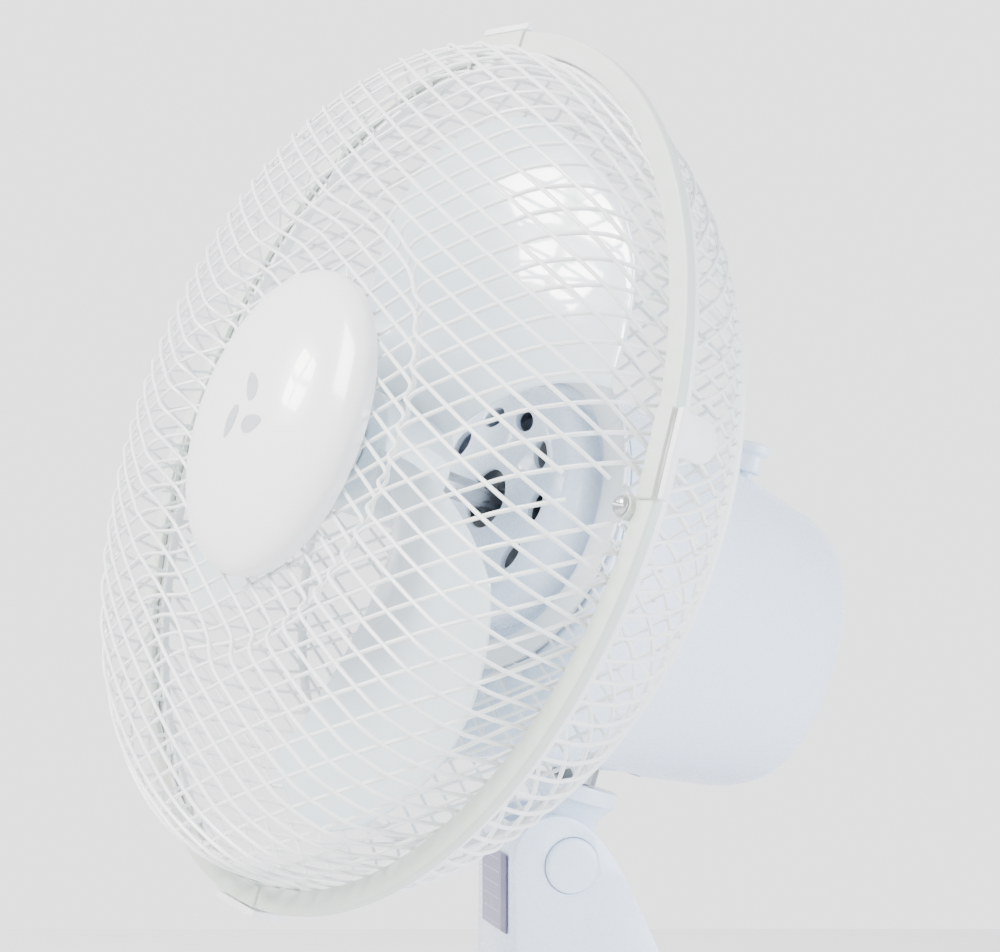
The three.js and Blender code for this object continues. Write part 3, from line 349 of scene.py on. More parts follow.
def fill_moulded(tree, given, out):
    """Broad mottle and fine grain by position, and dust by how far the surface faces up."""
    place = tree.nodes.new("ShaderNodeTexCoord").outputs["Object"]
    facing = tree.nodes.new("ShaderNodeNewGeometry").outputs["Normal"]
    apart = tree.nodes.new("ShaderNodeSeparateXYZ")
    tree.links.new(facing, apart.inputs[0])
    cloud = noise(tree, place, 28.0, 3.0)
    speck = noise(tree, place, 900.0, 2.0, 0.6)
    fine = noise(tree, place, given["Grain scale"], 3.0, 0.6)
    film = spread(tree, apart.outputs["Z"], 0.45, 1.0, 0.0, 1.0)
    patchy = spread(tree, maths(tree, "MULTIPLY", cloud, speck), 0.18, 0.34, 0.0, 1.0)
    dust = maths(tree, "MULTIPLY", maths(tree, "MULTIPLY", film, patchy), given["Dust"])
    share = spread(tree, cloud, 0.35, 0.65, 0.0, 1.0)
    mottled = blend_colour(tree, share, given["Colour"], given["Mottle"])
    dusty = blend_colour(tree, dust, mottled, dust_colour)
    tree.links.new(dusty, out["Colour"])
    rough = maths(tree, "ADD", given["Roughness"], spread(tree, speck, 0.3, 0.7, -0.03, 0.05))
    tree.links.new(maths(tree, "ADD", rough, maths(tree, "MULTIPLY", dust, 0.35)), out["Roughness"])
    tree.links.new(fine, out["Height"])


moulded = group_of(
    "moulded",
    [("Colour", "NodeSocketColor"), ("Mottle", "NodeSocketColor"), ("Roughness", "NodeSocketFloat"),
     ("Grain scale", "NodeSocketFloat"), ("Dust", "NodeSocketFloat")],
    [("Colour", "NodeSocketColor"), ("Roughness", "NodeSocketFloat"), ("Height", "NodeSocketFloat")],
    fill_moulded,
)


def fill_brushed(tree, given, out):
    """Noise drawn out along one direction, as scratches, over a slow change of tone."""
    place = tree.nodes.new("ShaderNodeTexCoord").outputs["Object"]
    stretch = tree.nodes.new("ShaderNodeVectorMath")
    stretch.operation = "MULTIPLY"
    tree.links.new(place, stretch.inputs[0])
    tree.links.new(given["Stretch"], stretch.inputs[1])
    scratch = noise(tree, stretch.outputs[0], 900.0, 4.0, 0.7)
    cloud = noise(tree, place, 60.0, 3.0)
    toned = blend_colour(tree, spread(tree, cloud, 0.3, 0.7, 0.0, 1.0), given["Colour"], given["Tone"])
    tree.links.new(toned, out["Colour"])
    tree.links.new(spread(tree, scratch, 0.25, 0.75, -0.1, 0.14), out["Change of roughness"])
    tree.links.new(scratch, out["Height"])


brushed = group_of(
    "brushed",
    [("Colour", "NodeSocketColor"), ("Tone", "NodeSocketColor"), ("Stretch", "NodeSocketVector")],
    [("Colour", "NodeSocketColor"), ("Change of roughness", "NodeSocketFloat"), ("Height", "NodeSocketFloat")],
    fill_brushed,
)
print("groups", [tree.name for tree in bpy.data.node_groups])


# %% [markdown]
# A material is one Principled BSDF with a group plugged into it. The grain goes through a Bump node. Numbers
# that are the same all over a surface, such as the coat, are set on the shader itself.

# %% Plastics, coated wire and metals
def new_material(name):
    """A material with its tree, its shader and a Bump node that feeds the shader's normal."""
    material = bpy.data.materials.new(name)
    material.use_nodes = True
    tree = material.node_tree
    shader = tree.nodes["Principled BSDF"]
    bump = tree.nodes.new("ShaderNodeBump")
    tree.links.new(bump.outputs["Normal"], shader.inputs["Normal"])
    return material, tree, shader, bump


def rgb(*values):
    """A linear colour with full alpha."""
    return (*values, 1.0)


def plastic(name, colour, mottle, roughness, grain=1500.0, depth=0.006, dust=0.06, coat=0.0):
    """Moulded plastic: mottled, grained, and dusty on top, with an optional clear coat."""
    material, tree, shader, bump = new_material(name)
    group = tree.nodes.new("ShaderNodeGroup")
    group.node_tree = moulded
    given = {"Colour": colour, "Mottle": mottle, "Roughness": roughness, "Grain scale": grain, "Dust": dust}
    for label, value in given.items():
        group.inputs[label].default_value = value
    tree.links.new(group.outputs["Colour"], shader.inputs["Base Color"])
    tree.links.new(group.outputs["Roughness"], shader.inputs["Roughness"])
    tree.links.new(group.outputs["Height"], bump.inputs["Height"])
    bump.inputs["Distance"].default_value = depth * MM
    shader.inputs["Coat Weight"].default_value = coat
    shader.inputs["Coat Roughness"].default_value = 0.03
    return material


def metal(name, colour, tone, roughness, stretch, depth=0.01, metallic=1.0):
    """Metal with scratches along one axis: small numbers in stretch draw them out."""
    material, tree, shader, bump = new_material(name)
    group = tree.nodes.new("ShaderNodeGroup")
    group.node_tree = brushed
    for label, value in (("Colour", colour), ("Tone", tone), ("Stretch", stretch)):
        group.inputs[label].default_value = value
    tree.links.new(group.outputs["Colour"], shader.inputs["Base Color"])
    rough = maths(tree, "ADD", roughness, group.outputs["Change of roughness"])
    tree.links.new(rough, shader.inputs["Roughness"])
    tree.links.new(group.outputs["Height"], bump.inputs["Height"])
    bump.inputs["Distance"].default_value = depth * MM
    shader.inputs["Metallic"].default_value = metallic
    return material


finishes = {
    "white_plastic": plastic("white plastic", rgb(0.74, 0.835, 0.975), rgb(0.725, 0.825, 0.97), 0.26, coat=0.3),
    "cap_plastic": plastic("cap plastic", rgb(0.87, 0.87, 0.875), rgb(0.85, 0.855, 0.865), 0.2, coat=0.4),
    "band_plastic": plastic("band plastic", rgb(0.60, 0.66, 0.60), rgb(0.585, 0.645, 0.59), 0.42),
    "clip_plastic": plastic("clip plastic", rgb(0.84, 0.855, 0.85), rgb(0.82, 0.84, 0.83), 0.36),
    "blade_plastic": plastic(
        "blade plastic", rgb(0.70, 0.79, 0.84), rgb(0.685, 0.775, 0.83), 0.13, depth=0.003, dust=0.1, coat=0.8
    ),
    "coated_wire": plastic(
        "coated wire", rgb(0.87, 0.885, 0.88), rgb(0.83, 0.85, 0.845), 0.3, grain=900.0, depth=0.03
    ),
    "black_plastic": plastic(
        "black plastic", rgb(0.02, 0.02, 0.022), rgb(0.028, 0.028, 0.03), 0.45, depth=0.03
    ),
    "nylon": plastic("nylon", rgb(0.72, 0.69, 0.6), rgb(0.68, 0.65, 0.56), 0.4, dust=0.1),
    "rubber": plastic("rubber", rgb(0.012, 0.012, 0.013), rgb(0.02, 0.02, 0.02), 0.75, grain=700.0, depth=0.05),
    "steel": metal("zinc plated steel", rgb(0.55, 0.56, 0.58), rgb(0.47, 0.49, 0.52), 0.3, (1.0, 0.08, 1.0)),
    "lamination": metal(
        "laminated steel", rgb(0.2, 0.21, 0.22), rgb(0.14, 0.15, 0.16), 0.5, (0.05, 1.4, 0.05), 0.06
    ),
    "cast_iron": metal(
        "cast iron", rgb(0.07, 0.07, 0.07), rgb(0.1, 0.085, 0.075), 0.65, (0.3, 0.3, 0.3), 0.12, 0.7
    ),
    "cast_alloy": metal(
        "cast alloy", rgb(0.42, 0.43, 0.44), rgb(0.36, 0.37, 0.39), 0.48, (0.4, 0.4, 0.4), 0.06, 0.95
    ),
    "copper": metal("winding copper", rgb(0.62, 0.23, 0.09), rgb(0.5, 0.17, 0.06), 0.3, (0.12, 1.6, 0.12), 0.1),
}
badge_plastic = plastic("badge print", rgb(0.42, 0.44, 0.47), rgb(0.38, 0.40, 0.44), 0.4, dust=0.1)
print("materials", len(bpy.data.materials))

# %% [markdown]
# ## The wire guards
#
# Each guard is a sheet of welded mesh: two families of straight wires that cross at a slant. The flat sheet
# is pressed over a dome, so a wire keeps its length as it bends down the sides. That is how it is made here
# too. Straight wires are drawn on a flat sheet, and each point goes to the place on the dome that is the same
# length of wire away from the middle, in the same direction.

# %% A flat mesh pressed over a profile
wire = 1.2
mesh_pitch = {-1: 7.3, 1: 8.3}
mesh_lean = 25.0


def by_length(profile, radius=5.0, count=500):
    """A rounded profile as length along it from the middle, radius and depth."""
    path = soften(profile, radius, 7)
    run = np.concatenate([[0], np.cumsum(np.hypot(*np.diff(path, axis=0).T))])
    length = np.linspace(0, run[-1], count)
    return length, np.interp(length, run, path[:, 0]), np.interp(length, run, path[:, 1])


def pressed_mesh(profile, outward, inner=0.0, keep_off=None, step=2.5, sides=8):
    """Straight lines on a sheet, carried to the profile by length from the middle; one family lies on top."""
    length, radius, depth = by_length(profile)
    slope_r, slope_y = np.gradient(radius, length), np.gradient(depth, length)
    sheet = length[-1]
    parts = []
    for family in (-1, 1):
        c, s = math.cos(math.radians(mesh_lean)), family * math.sin(math.radians(mesh_lean))
        rows = int(sheet / mesh_pitch[family] - 0.5)
        for offset in (np.arange(-rows - 1, rows + 1) + 0.5) * mesh_pitch[family]:
            half = math.sqrt(max(sheet**2 - offset**2, 0))
            along = np.linspace(-half, half, max(3, round(2 * half / step)))
            u, v = along * c - offset * s, along * s + offset * c
            out = np.minimum(np.hypot(u, v), sheet)
            angle = np.arctan2(v, u)
            r, y, dr, dy = (np.interp(out, length, values) for values in (radius, depth, slope_r, slope_y))
            normal = outward * np.stack([-dy * np.cos(angle), dr, -dy * np.sin(angle)], -1)
            line = np.stack([r * np.cos(angle), y, r * np.sin(angle)], -1)
            line -= normal * family * 0.42 * wire
            kept = r > inner
            if keep_off is not None:
                kept &= np.linalg.norm(line[:, ::2] - keep_off[:2], axis=1) > keep_off[2]
            for run in np.split(np.arange(len(line)), np.flatnonzero(np.diff(kept.astype(int))) + 1):
                if kept[run[0]] and len(run) > 2:
                    parts.append(tube(line[run], normal[run], wire / 2, sides))
    print(f"{len(parts)} wires")
    return parts


# %% [markdown]
# The front guard has a ridge and a flat dish in the middle, where the round cap sits. Its rim ends in a hoop
# that lies in the plastic band. The rear guard is deeper and rounder: a thick hoop stiffens its corner, and a
# flat ring in the middle is screwed to the motor.

# %% Front and rear guard
front_rim = 128.65
front_profile = [
    [0, -31], [62, -31], [65, -32.4], [72, -38.6], [96, -34.6], [114, -29.4], [124.15, -20.5],
    [127.35, -13], [front_rim, 2.1],
]
rear_profile = [[0, 58], [52, 54.65], [108.5, 46], [119.5, 34], [128, 19], [131, 4.1]]
lock_radius = 127.8
lock_angle = -1.4
lock_place = lock_radius * np.array([math.cos(math.radians(lock_angle)), math.sin(math.radians(lock_angle))])


def flat_ring(inner, outer, front, rear, around=160, edge=0.5):
    """A flat ring about the shaft with softened corners."""
    outline = soften([[inner, front], [outer, front], [outer, rear], [inner, rear]], edge, 4, closed=True)
    return turned(outline, around, closed=True)


front_parts = pressed_mesh(front_profile, -1, keep_off=np.array([*lock_place, 4.3]))
front_parts.append(flat_ring(127.8, 132.6, 1.2, 2.4))
make("guard_front", front_parts, "head", "coated_wire", ["front_guard"])

rear_parts = pressed_mesh(rear_profile, 1, inner=47)
rear_parts.append(flat_ring(129.6, 134.6, 2.7, 5.5))
rear_parts.append(hoop(108.5, 46, 3.2))
rear_parts.append(flat_ring(42.5, 52, 53.9, 55.4))
make("guard_rear", rear_parts, "head", "coated_wire", ["rear_guard"])


# %% [markdown]
# ## The rim
#
# A moulded band covers the joint between the guards. It is one lathe shape with pads where the clips lie.
# Each clip is a lever with a rounded tab for the thumb, which hooks behind the rear guard's rim. A screw with
# a slotted dome locks the two halves, so that no child opens them.

# %% The band, its screw and its clips
clip_angles = [5, 90, 185, 270]


def at_rim(degrees, radius=0.0):
    """A place function: points made at the rim's right side are shifted outwards and turned to an angle."""
    c, s = math.cos(math.radians(degrees)), math.sin(math.radians(degrees))
    turn = np.array([[c, 0, s], [0, 1, 0], [-s, 0, c]])
    return lambda points: of_head((points + [radius, 0, 0]) @ turn)


def slab(outline, low, high, edge, place):
    """A flat plate: a closed outline of [second, third] coordinates carried along x, drawn in at both faces."""
    outline = np.asarray(outline, float)
    ahead = np.roll(outline, -1, 0) - np.roll(outline, 1, 0)
    normal = np.stack([ahead[:, 1], -ahead[:, 0]], -1) / np.linalg.norm(ahead, axis=1, keepdims=True)
    area = np.sum(outline[:, 0] * np.roll(outline[:, 1], -1) - outline[:, 1] * np.roll(outline[:, 0], -1))
    normal *= np.sign(area)
    levels = np.array([low, low + 0.3 * edge, low + edge, high - edge, high - 0.3 * edge, high])
    inset = np.array([edge, 0.3 * edge, 0, 0, 0.3 * edge, edge])
    flat = outline[None] - inset[:, None, None] * normal[None]
    points = np.concatenate([np.broadcast_to(levels[:, None, None], (*flat.shape[:2], 1)), flat], -1)
    vertices, faces = grid(place(points))
    count = len(outline)
    faces += [list(range(count)), list(range(len(vertices) - count, len(vertices)))]
    return vertices, faces


band_outline = [[130, -1.2], [137, -1.2], [137, 2.1], [135.4, 2.1], [135.4, 0.9], [130, 0.9]]
band_parts = [turned(soften(band_outline, 0.7, 5, closed=True), 240, closed=True)]
band_parts += [
    box_grid(130.4, 136.4, -2.2, -0.5, -12, 12, at_rim(angle), edge=0.5) for angle in clip_angles
]
lug = soften([[1.6, -3], [3.2, -3], [3.2, 2.4], [1.6, 2.4]], 0.4, 4, closed=True)
band_parts.append(turned(lug, 32, closed=True, place=at_rim(lock_angle, lock_radius)))
make("band", band_parts, "head", "band_plastic", ["rim_band"], sharp=50)

screw_outline = [
    [0, -4.9], [1.2, -4.82], [2.0, -4.5], [2.5, -3.95], [2.6, -3.3], [1.3, -3.3], [1.3, 2.6], [0, 2.6]
]
screw = turned(screw_outline, 40, place=at_rim(lock_angle, lock_radius))
lock = make("safety_screw", [screw], "head", "steel", ["lock_screw"])
carve(lock, [box_grid(-3, 3, -5.4, -4.2, -0.4, 0.4, at_rim(lock_angle, lock_radius), edge=0.05)])

clip_front, strip = -1.2, 1.3
clip_half = 12
tab_low, tab_top, tab_reach = -0.5, 11.2, 12.2
tab_round = (tab_top - tab_low) / 2
half_turn = np.linspace(0, math.pi, 17)
tab_middle = (tab_top + tab_low) / 2
tab_y = tab_reach - tab_round + tab_round * np.sin(half_turn)
tab_z = tab_middle - tab_round * np.cos(half_turn)
tab = np.stack([tab_y, tab_z], -1)
strip_start = [[clip_front, -clip_half], [strip, -clip_half], [strip, tab_low]]
strip_end = [[strip, tab_top], [strip, clip_half], [clip_front, clip_half]]
clip_outline = np.vstack([strip_start, tab, strip_end])
clip_outline = soften(clip_outline, 0.8, 4, closed=True)
for i, angle in enumerate(clip_angles):
    parts = [
        slab(clip_outline, 137.3, 139.5, 0.5, at_rim(angle)),
        box_grid(132.4, 138.3, 5.8, 11.2, tab_low + 3, tab_top - 3, at_rim(angle), edge=0.4),
    ]
    make(f"clip_{i + 1}", parts, f"rim_clip_{i + 1}", "clip_plastic", [f"rim_clip_{i + 1}"])


# %% [markdown]
# ## The centre cap
#
# A polished dome, turned as a lathe would turn it, with a wall behind it. Its edge rolls over into a short
# skirt. The mark on it is a plain one of this notebook's own: three small petals in grey print, laid on the
# dome by taking their depth from the dome's outline.

# %% Cap and badge
cap_front = np.array([[0, -47], [21.2, -45.9], [35.3, -43.6], [43.2, -40.6], [47, -36.8], [46.6, -32.75]])
cap_back = [[44.6, -32.75], [44.6, -35.5], [40.8, -37.8], [32.9, -40.7], [21.2, -43.4], [0, -44.6]]
cap_outline = np.vstack([soften(cap_front, 6, 7), soften(cap_back, 3, 4)])
cap_outline[:, 0] = np.maximum(cap_outline[:, 0], 0)
stud = [[0, -45.1], [4.5, -45.1], [4.5, -32.75], [1.9, -32.75], [1.9, -42.6], [0, -42.6]]
make("cap", [turned(cap_outline, 160), turned(stud, 32)], "head", "cap_plastic", ["centre_cap"])


def petal(degrees, inner=3.0, outer=12.0, width=3.4):
    """A leaf: its half width rises and falls as a sine along its length, with a slight sweep."""
    along = np.linspace(0, 1, 15)
    reach = inner + along * (outer - inner)
    half = width * np.sin(math.pi * along**0.8) ** 0.7 + 0.03
    sweep = np.radians(degrees + 38 * along)
    side = np.stack([np.stack([reach * np.cos(sweep) - k * half * np.sin(sweep),
                               reach * np.sin(sweep) + k * half * np.cos(sweep)], -1) for k in (-1, 0, 1)], 1)
    radius = np.hypot(side[..., 0], side[..., 1])
    depth = np.interp(radius, cap_outline[:30, 0], cap_outline[:30, 1])
    layers = [np.stack([side[..., 0], depth + shift, side[..., 1]], -1) for shift in (-0.12, 0.3)]
    loop = np.concatenate([layers[0], layers[1][:, ::-1]], 1)
    return grid(of_head(loop), filled=True)


make("badge", [petal(degrees) for degrees in (70, 190, 310)], "head", "cap_plastic", material=badge_plastic)


# %% [markdown]
# ## Blades, hub and spinner
#
# A blade is a thin skin whose middle surface is given by two numbers: how far out from the hub, and how far
# round from its rear edge. Its depth falls from the rear edge to the front edge, which is the pitch, and more
# so at the root. Both corners of its tip are rounded off, so it looks like a paddle. Its thickness is a
# rounded loop about that surface, and it thickens where it meets the hub, as a moulded fillet does.

# %% Blades
blade_root, blade_tip = 17, 112
blade_span, blade_sweep = 83, 22


def blade(index, spans=36, around=64):
    """Radius from `out`, angle and depth from `lead`; the skin's half thickness is a flattened sine loop."""
    out = np.concatenate([np.linspace(0, 0.985, spans), [0.992, 0.997, 1.0]])[:, None]
    tip = np.sqrt(np.clip(1 - (np.clip((out - 0.985) / 0.015, 0, 1)) ** 2, 0, 1))
    tip[0] = 0
    phase = np.arange(around) * 2 * math.pi / around
    lead = ((1 - np.cos(phase)) / 2)[None]
    corners = 0.21 * np.maximum(0, (lead - 0.65) / 0.35) ** 2 + 0.16 * np.maximum(0, (0.33 - lead) / 0.33) ** 2
    radius = blade_root + out * (blade_tip - blade_root) * (1 - corners)
    angle = np.radians(40 + index * 120 - blade_sweep * out + lead * blade_span)
    loop = np.sign(np.sin(phase)) * np.abs(np.sin(phase)) ** 0.4
    fillet = 1 + 1.6 * np.exp(-np.maximum(radius - 19, 0) / 1.6)
    skin = loop[None] * tip * 0.9 * (1 - 0.35 * out) * fillet
    depth = 9 - 15 * lead + 4 * (1 - out) * (1 - 2 * lead) + 3 * np.sin(math.pi * lead) * out + skin
    return grid(of_head(np.stack([radius * np.cos(angle), depth, radius * np.sin(angle)], -1)))


hub_outline = [[4.3, -11], [17, -11], [19, -9], [19, 15], [16.6, 15], [16.6, -6], [8, -6], [8, 14], [4.3, 14]]
hub = turned(soften(hub_outline, 0.6, 4, closed=True), 96, closed=True)
blade_parts = [hub] + [blade(i) for i in range(3)]
make("blades", blade_parts, "rotor", "blade_plastic", ["fan_blades"], sharp=50)

# %% Spinner
def spinner(around=96, flutes=12):
    """A lathe shape whose radius dips in a cosine round it, most at the middle of its length."""
    outline = soften(
        [[0, -20.3], [7.2, -20.1], [9.5, -17.3], [11, -11.3], [4.3, -11.3], [4.3, -16.8], [0, -16.8]], 1.0, 5
    )
    theta = np.arange(around) * 2 * math.pi / around
    r, y = outline[:, :1], outline[:, 1:]
    depth = np.where((r > 7) & (y < -11.8), 0.45, 0.0) * (1 - ((y + 15.5) / 5) ** 2).clip(0, 1)
    r = r - depth * (0.5 + 0.5 * np.cos(flutes * theta))
    return grid(of_head(np.stack([r * np.cos(theta), y + 0 * theta, r * np.sin(theta)], -1)))


make("spinner", [spinner()], "rotor", "blade_plastic", ["blade_nut"])

# %% [markdown]
# ## The motor's housing
#
# The housing is a smooth shell with a squarish section, which narrows and rounds off towards the rear. Its
# section at any depth is a superellipse: a circle's cosines and sines raised to a power, which squares the
# corners a little. The shell's outer and inner walls are one surface that turns round at the open front.
# Five slots in the rear let the motor's air out, and the swivel pin comes up through a round hole below.

# %% Housing shell
housing_sections = [
    [58.6, 52.6, 45, -79], [93.52, 49.6, 41, -74.5], [134.26, 45.5, 35.5, -69.5],
    [158.7, 43, 32.2, -66.6], [168.02, 39.5, 28.5, -63], [173.25, 33, 21, -55], [175, 24, 11, -45],
]


def housing_surface(sections, inset, around):
    """A superellipse at each depth, between the top and bottom there and as wide as the half width."""
    c, s = squared(2.5, around)
    y, half, top, bottom = (column[:, None] for column in sections.T)
    x = np.maximum(half - inset, 0) * c
    z = (top + bottom) / 2 + np.maximum((top - bottom) / 2 - inset, 0) * s
    return np.stack([x, y + 0 * c, z], -1)


def housing(around=128):
    """Outer wall from the rear's middle to the front edge, then the inner wall back to the rear's middle."""
    sections = soften(housing_sections, 7, 9)
    end = sections[-1] * [1, 0, 0, 0] + [0, 0, -17, -17]
    shut = end + (sections[-1] - end) * np.array([[0.02], [0.5], [0.9]]) * [0, 1, 1, 1]
    outer = np.vstack([sections, shut[::-1]])[::-1]
    front = outer[-1:]
    inner = outer[::-1] - [2.2, 0, 0, 0]
    inner = inner[inner[:, 0] > front[0, 0] + 0.4]
    edge = [housing_surface(front, inset, around) for inset in (0.25, 0.8, 1.9)]
    walls = [housing_surface(outer, 0, around), *edge,
             housing_surface(np.vstack([front + [0.5, 0, 0, 0], inner]), 2.2, around)]
    return np.concatenate(walls)


housing_parts = [grid(of_head(housing()), filled=True)]
made_housing = make("housing", housing_parts, "head", "white_plastic", ["motor_housing"], sharp=30)
slots = [box_grid(i * 8 - 1.4, i * 8 + 1.4, 165, 182, -34, 0, of_head, 4, edge=1.2) for i in range(-2, 3)]
knob_x, knob_y = 13.9, 130
pin_y = 107
swivel_hole = upright([[0, -100], [21, -100], [21, -50], [0, -50]], 64, y=pin_y, place=of_head)
knob_hole = upright([[0, 20], [2.8, 20], [2.8, 60], [0, 60]], 32, x=knob_x, y=knob_y, place=of_head)
carve(made_housing, [*slots, swivel_hole, knob_hole], sharp=30)

# %% [markdown]
# In front, a flat cover closes the housing, and a shallow bell with ten vents stands on it behind the blades.
# The vents are cut through the bell as solid shapes, as a punch would, and their edges are then eased.

# %% Front cover with its vents
def cover_plate(around=160):
    """Front and rear faces between a circle and the housing's outline, with an eased outer edge."""
    c, s = squared(2.5, around)
    plain_c, plain_s = circle(around)
    rows = []
    for y, share, inset in ((56.3, 0, 0), (56.3, 1, 0.6), (56.48, 1, 0.18), (56.9, 1, 0), (57.8, 1, 0),
                            (58.3, 1, 0.4), (58.3, 0, 0)):
        x = share * (52.6 - inset) * c + (1 - share) * 37.6 * plain_c
        z = share * ((62 - inset) * s - 17) + (1 - share) * 37.6 * plain_s
        rows.append(np.stack([x, y + 0 * c, z], -1))
    return grid(of_head(np.array(rows)), wrap_rows=True)


bell_outline = soften(
    [[9.5, 42], [33, 42], [37.5, 44.5], [39, 48.5], [39, 58.3], [37, 58.3], [37, 49.5], [36, 46], [32.3, 44],
     [9.5, 44]],
    1.2, 5, closed=True
)
bell = make("bell", [turned(bell_outline, 160, closed=True)], "head", "white_plastic", sharp=30)


def vent(index, around=24):
    """An oval bar along the shaft, longer round the circle than across it."""
    angle = -index * math.tau / 10
    c, s = circle(around)
    across_shaft, round_shaft = 27.3 + 3.2 * c, 5.2 * s
    x = across_shaft * math.cos(angle) + round_shaft * math.sin(angle)
    z = round_shaft * math.cos(angle) - across_shaft * math.sin(angle)
    return grid(of_head(np.array([np.stack([x, y + 0 * c, z], -1) for y in (39, 43, 48)])), filled=True)


carve(bell, [vent(i) for i in range(10)], sharp=30, bevel=0.35)
make("cover", [cover_plate()], "head", "white_plastic", ["motor_cover"], sharp=30)

# %% [markdown]
# The knob on top engages the swing. It is pulled up by its flared head, so its stem is narrower, and fine
# ridges round the head give a grip.

# %% Knob
def ridged_knob(foot, around=144, ridges=36):
    """A lathe shape about an upright axis whose head's radius follows a small cosine round it."""
    outline = soften(
        [[0, foot - 14], [2.2, foot - 14], [2.2, foot], [4.3, foot], [3.9, foot + 5.6], [5.4, foot + 6.9],
         [5.4, foot + 9.4], [4.7, foot + 10], [0, foot + 10]],
        0.6, 5
    )
    theta = np.arange(around) * math.tau / around
    r, z = outline[:, :1], outline[:, 1:]
    head = ((r > 4.8) & (z > foot + 6)).astype(float)
    r = r - 0.12 * head * (0.5 + 0.5 * np.cos(ridges * theta))
    return grid(of_head(np.stack([knob_x + r * np.cos(theta), knob_y + r * np.sin(theta), z + 0 * theta], -1)))


make("knob", [ridged_knob(36.7)], "stop_knob", "white_plastic", ["stop_knob"], sharp=35)


# %% [markdown]
# ## Neck and column
#
# The neck is the piece that tilts: a barrel round the tilt bolt, a web and a round plate for the head, with
# a small post for the swing linkage. The column is a rounded hood with a slot for the neck. It is cut from a
# solid, as the tool that moulds it is: the side outline carried across, kept only where a tapering
# squarish tower also is, less the slot and the recesses for the round covers.

# %% Neck
def flared(levels, around=96, power=5.0, place=of_neck):
    """A loft of superellipses: each level gives a height, a half width and a half depth."""
    c, s = squared(power, around)
    z, a, b = (np.array(column)[:, None] for column in zip(*levels))
    return grid(place(np.stack([a * c, b * s, z + 0 * c], -1)), filled=True)


post_place = (np.array(joints["link_rock"]["pos_m"]) / MM - tilt_axis) @ neck_turn.T
neck_parts = [
    across(soften([[3.3, -11.8], [12, -11.8], [12, 11.8], [3.3, 11.8]], 0.8, 5, closed=True), 96, closed=True,
           place=of_neck),
    flared([[0, 10.6, 9.2], [13, 10.8, 9.4], [16, 11.3, 10.2], [18, 12, 11.4], [19.8, 13, 13]]),
    upright(soften([[4.3, 19.5], [15.6, 19.5], [15.6, 25], [4.3, 25]], 0.9, 5, closed=True), 96, closed=True,
            place=of_neck),
    upright(soften([[0, 24], [3.8, 24], [3.8, 37.6], [2.2, 37.6], [2.2, 41], [0, 41]], 0.3, 4), 32,
            x=post_place[0], y=post_place[1], place=of_neck),
]
make("neck_piece", neck_parts, "neck", "white_plastic", ["neck"], sharp=50)

# %% Column
pad_top = 38
gap = 0.3
pivot = {"y": 6, "z": 128}
hood = [
    [-21.6, -89.7], [-18.6, -59], [-18.6, 4], [-17.3, 8.5], [-14.2, 12.6], [-10, 15.2], [-4.5, 16], [1.5, 14.6],
    [8, 9.8], [15, 1], [21, -10], [30, -29], [37.5, -46], [44, -89.7],
]
hood_outline = soften(np.array(hood) + tilt_axis[1:], 5.5, 5, closed=True)
hood_outline[:, 1] = np.maximum(hood_outline[:, 1], pad_top + gap)
tower_levels = [  # height, middle, half width, half depth
    [37, 12.7, 29, 60], [50.3, 12.7, 25, 58], [83.3, 12.7, 21.5, 46], [114, 8.7, 20, 38], [150, 8.7, 19.4, 38],
]


def tower(around=128):
    """Superellipse sections that narrow from the foot up, blended smoothly between the given heights."""
    levels = soften(tower_levels, 9, 7)
    c, s = squared(3, around)
    z, middle, a, b = (column[:, None] for column in levels.T)
    return grid(of_base(np.stack([a * c, middle + b * s, z + 0 * c], -1)), filled=True)


column = make("column_shell", [tower()], "base", "white_plastic", ["column"], sharp=35)
carve(column, [slab(hood_outline, -60, 60, 0.01, of_base)], operation="INTERSECT")
slot_cut = box_grid(-13.4, 13.4, -8.6, 80, 109, 170, of_base, 30, edge=0.4)
caps_cut = [
    across([[0, side * 18.4], [9.1, side * 18.4], [9.1, side * 30], [0, side * 30]], 64, **pivot)
    for side in (-1, 1)
]
bolt_cut = across([[0, -40], [3.3, -40], [3.3, 40], [0, 40]], 32, **pivot)
carve(column, [slot_cut, *caps_cut, bolt_cut], sharp=28, bevel=0.9, overlapping=True)

# %% [markdown]
# Round covers hide the ends of the bolt. Each is a shallow dome that stands a little proud of the column.

# %% Pivot covers and rating plate
for name, side in (("left", -1), ("right", 1)):
    outline = np.array(
        [[0, 18.7], [8.8, 18.7], [8.8, 20.5], [8.2, 21.1], [6.5, 21.3], [3, 21.5], [0, 21.6]]
    ) * [1, side]
    dome = across(soften(outline, 0.25, 4), 96, **pivot)
    make(f"pivot_cover_{name}", [dome], "base", "white_plastic", [f"pivot_cap_{name}"], sharp=30)


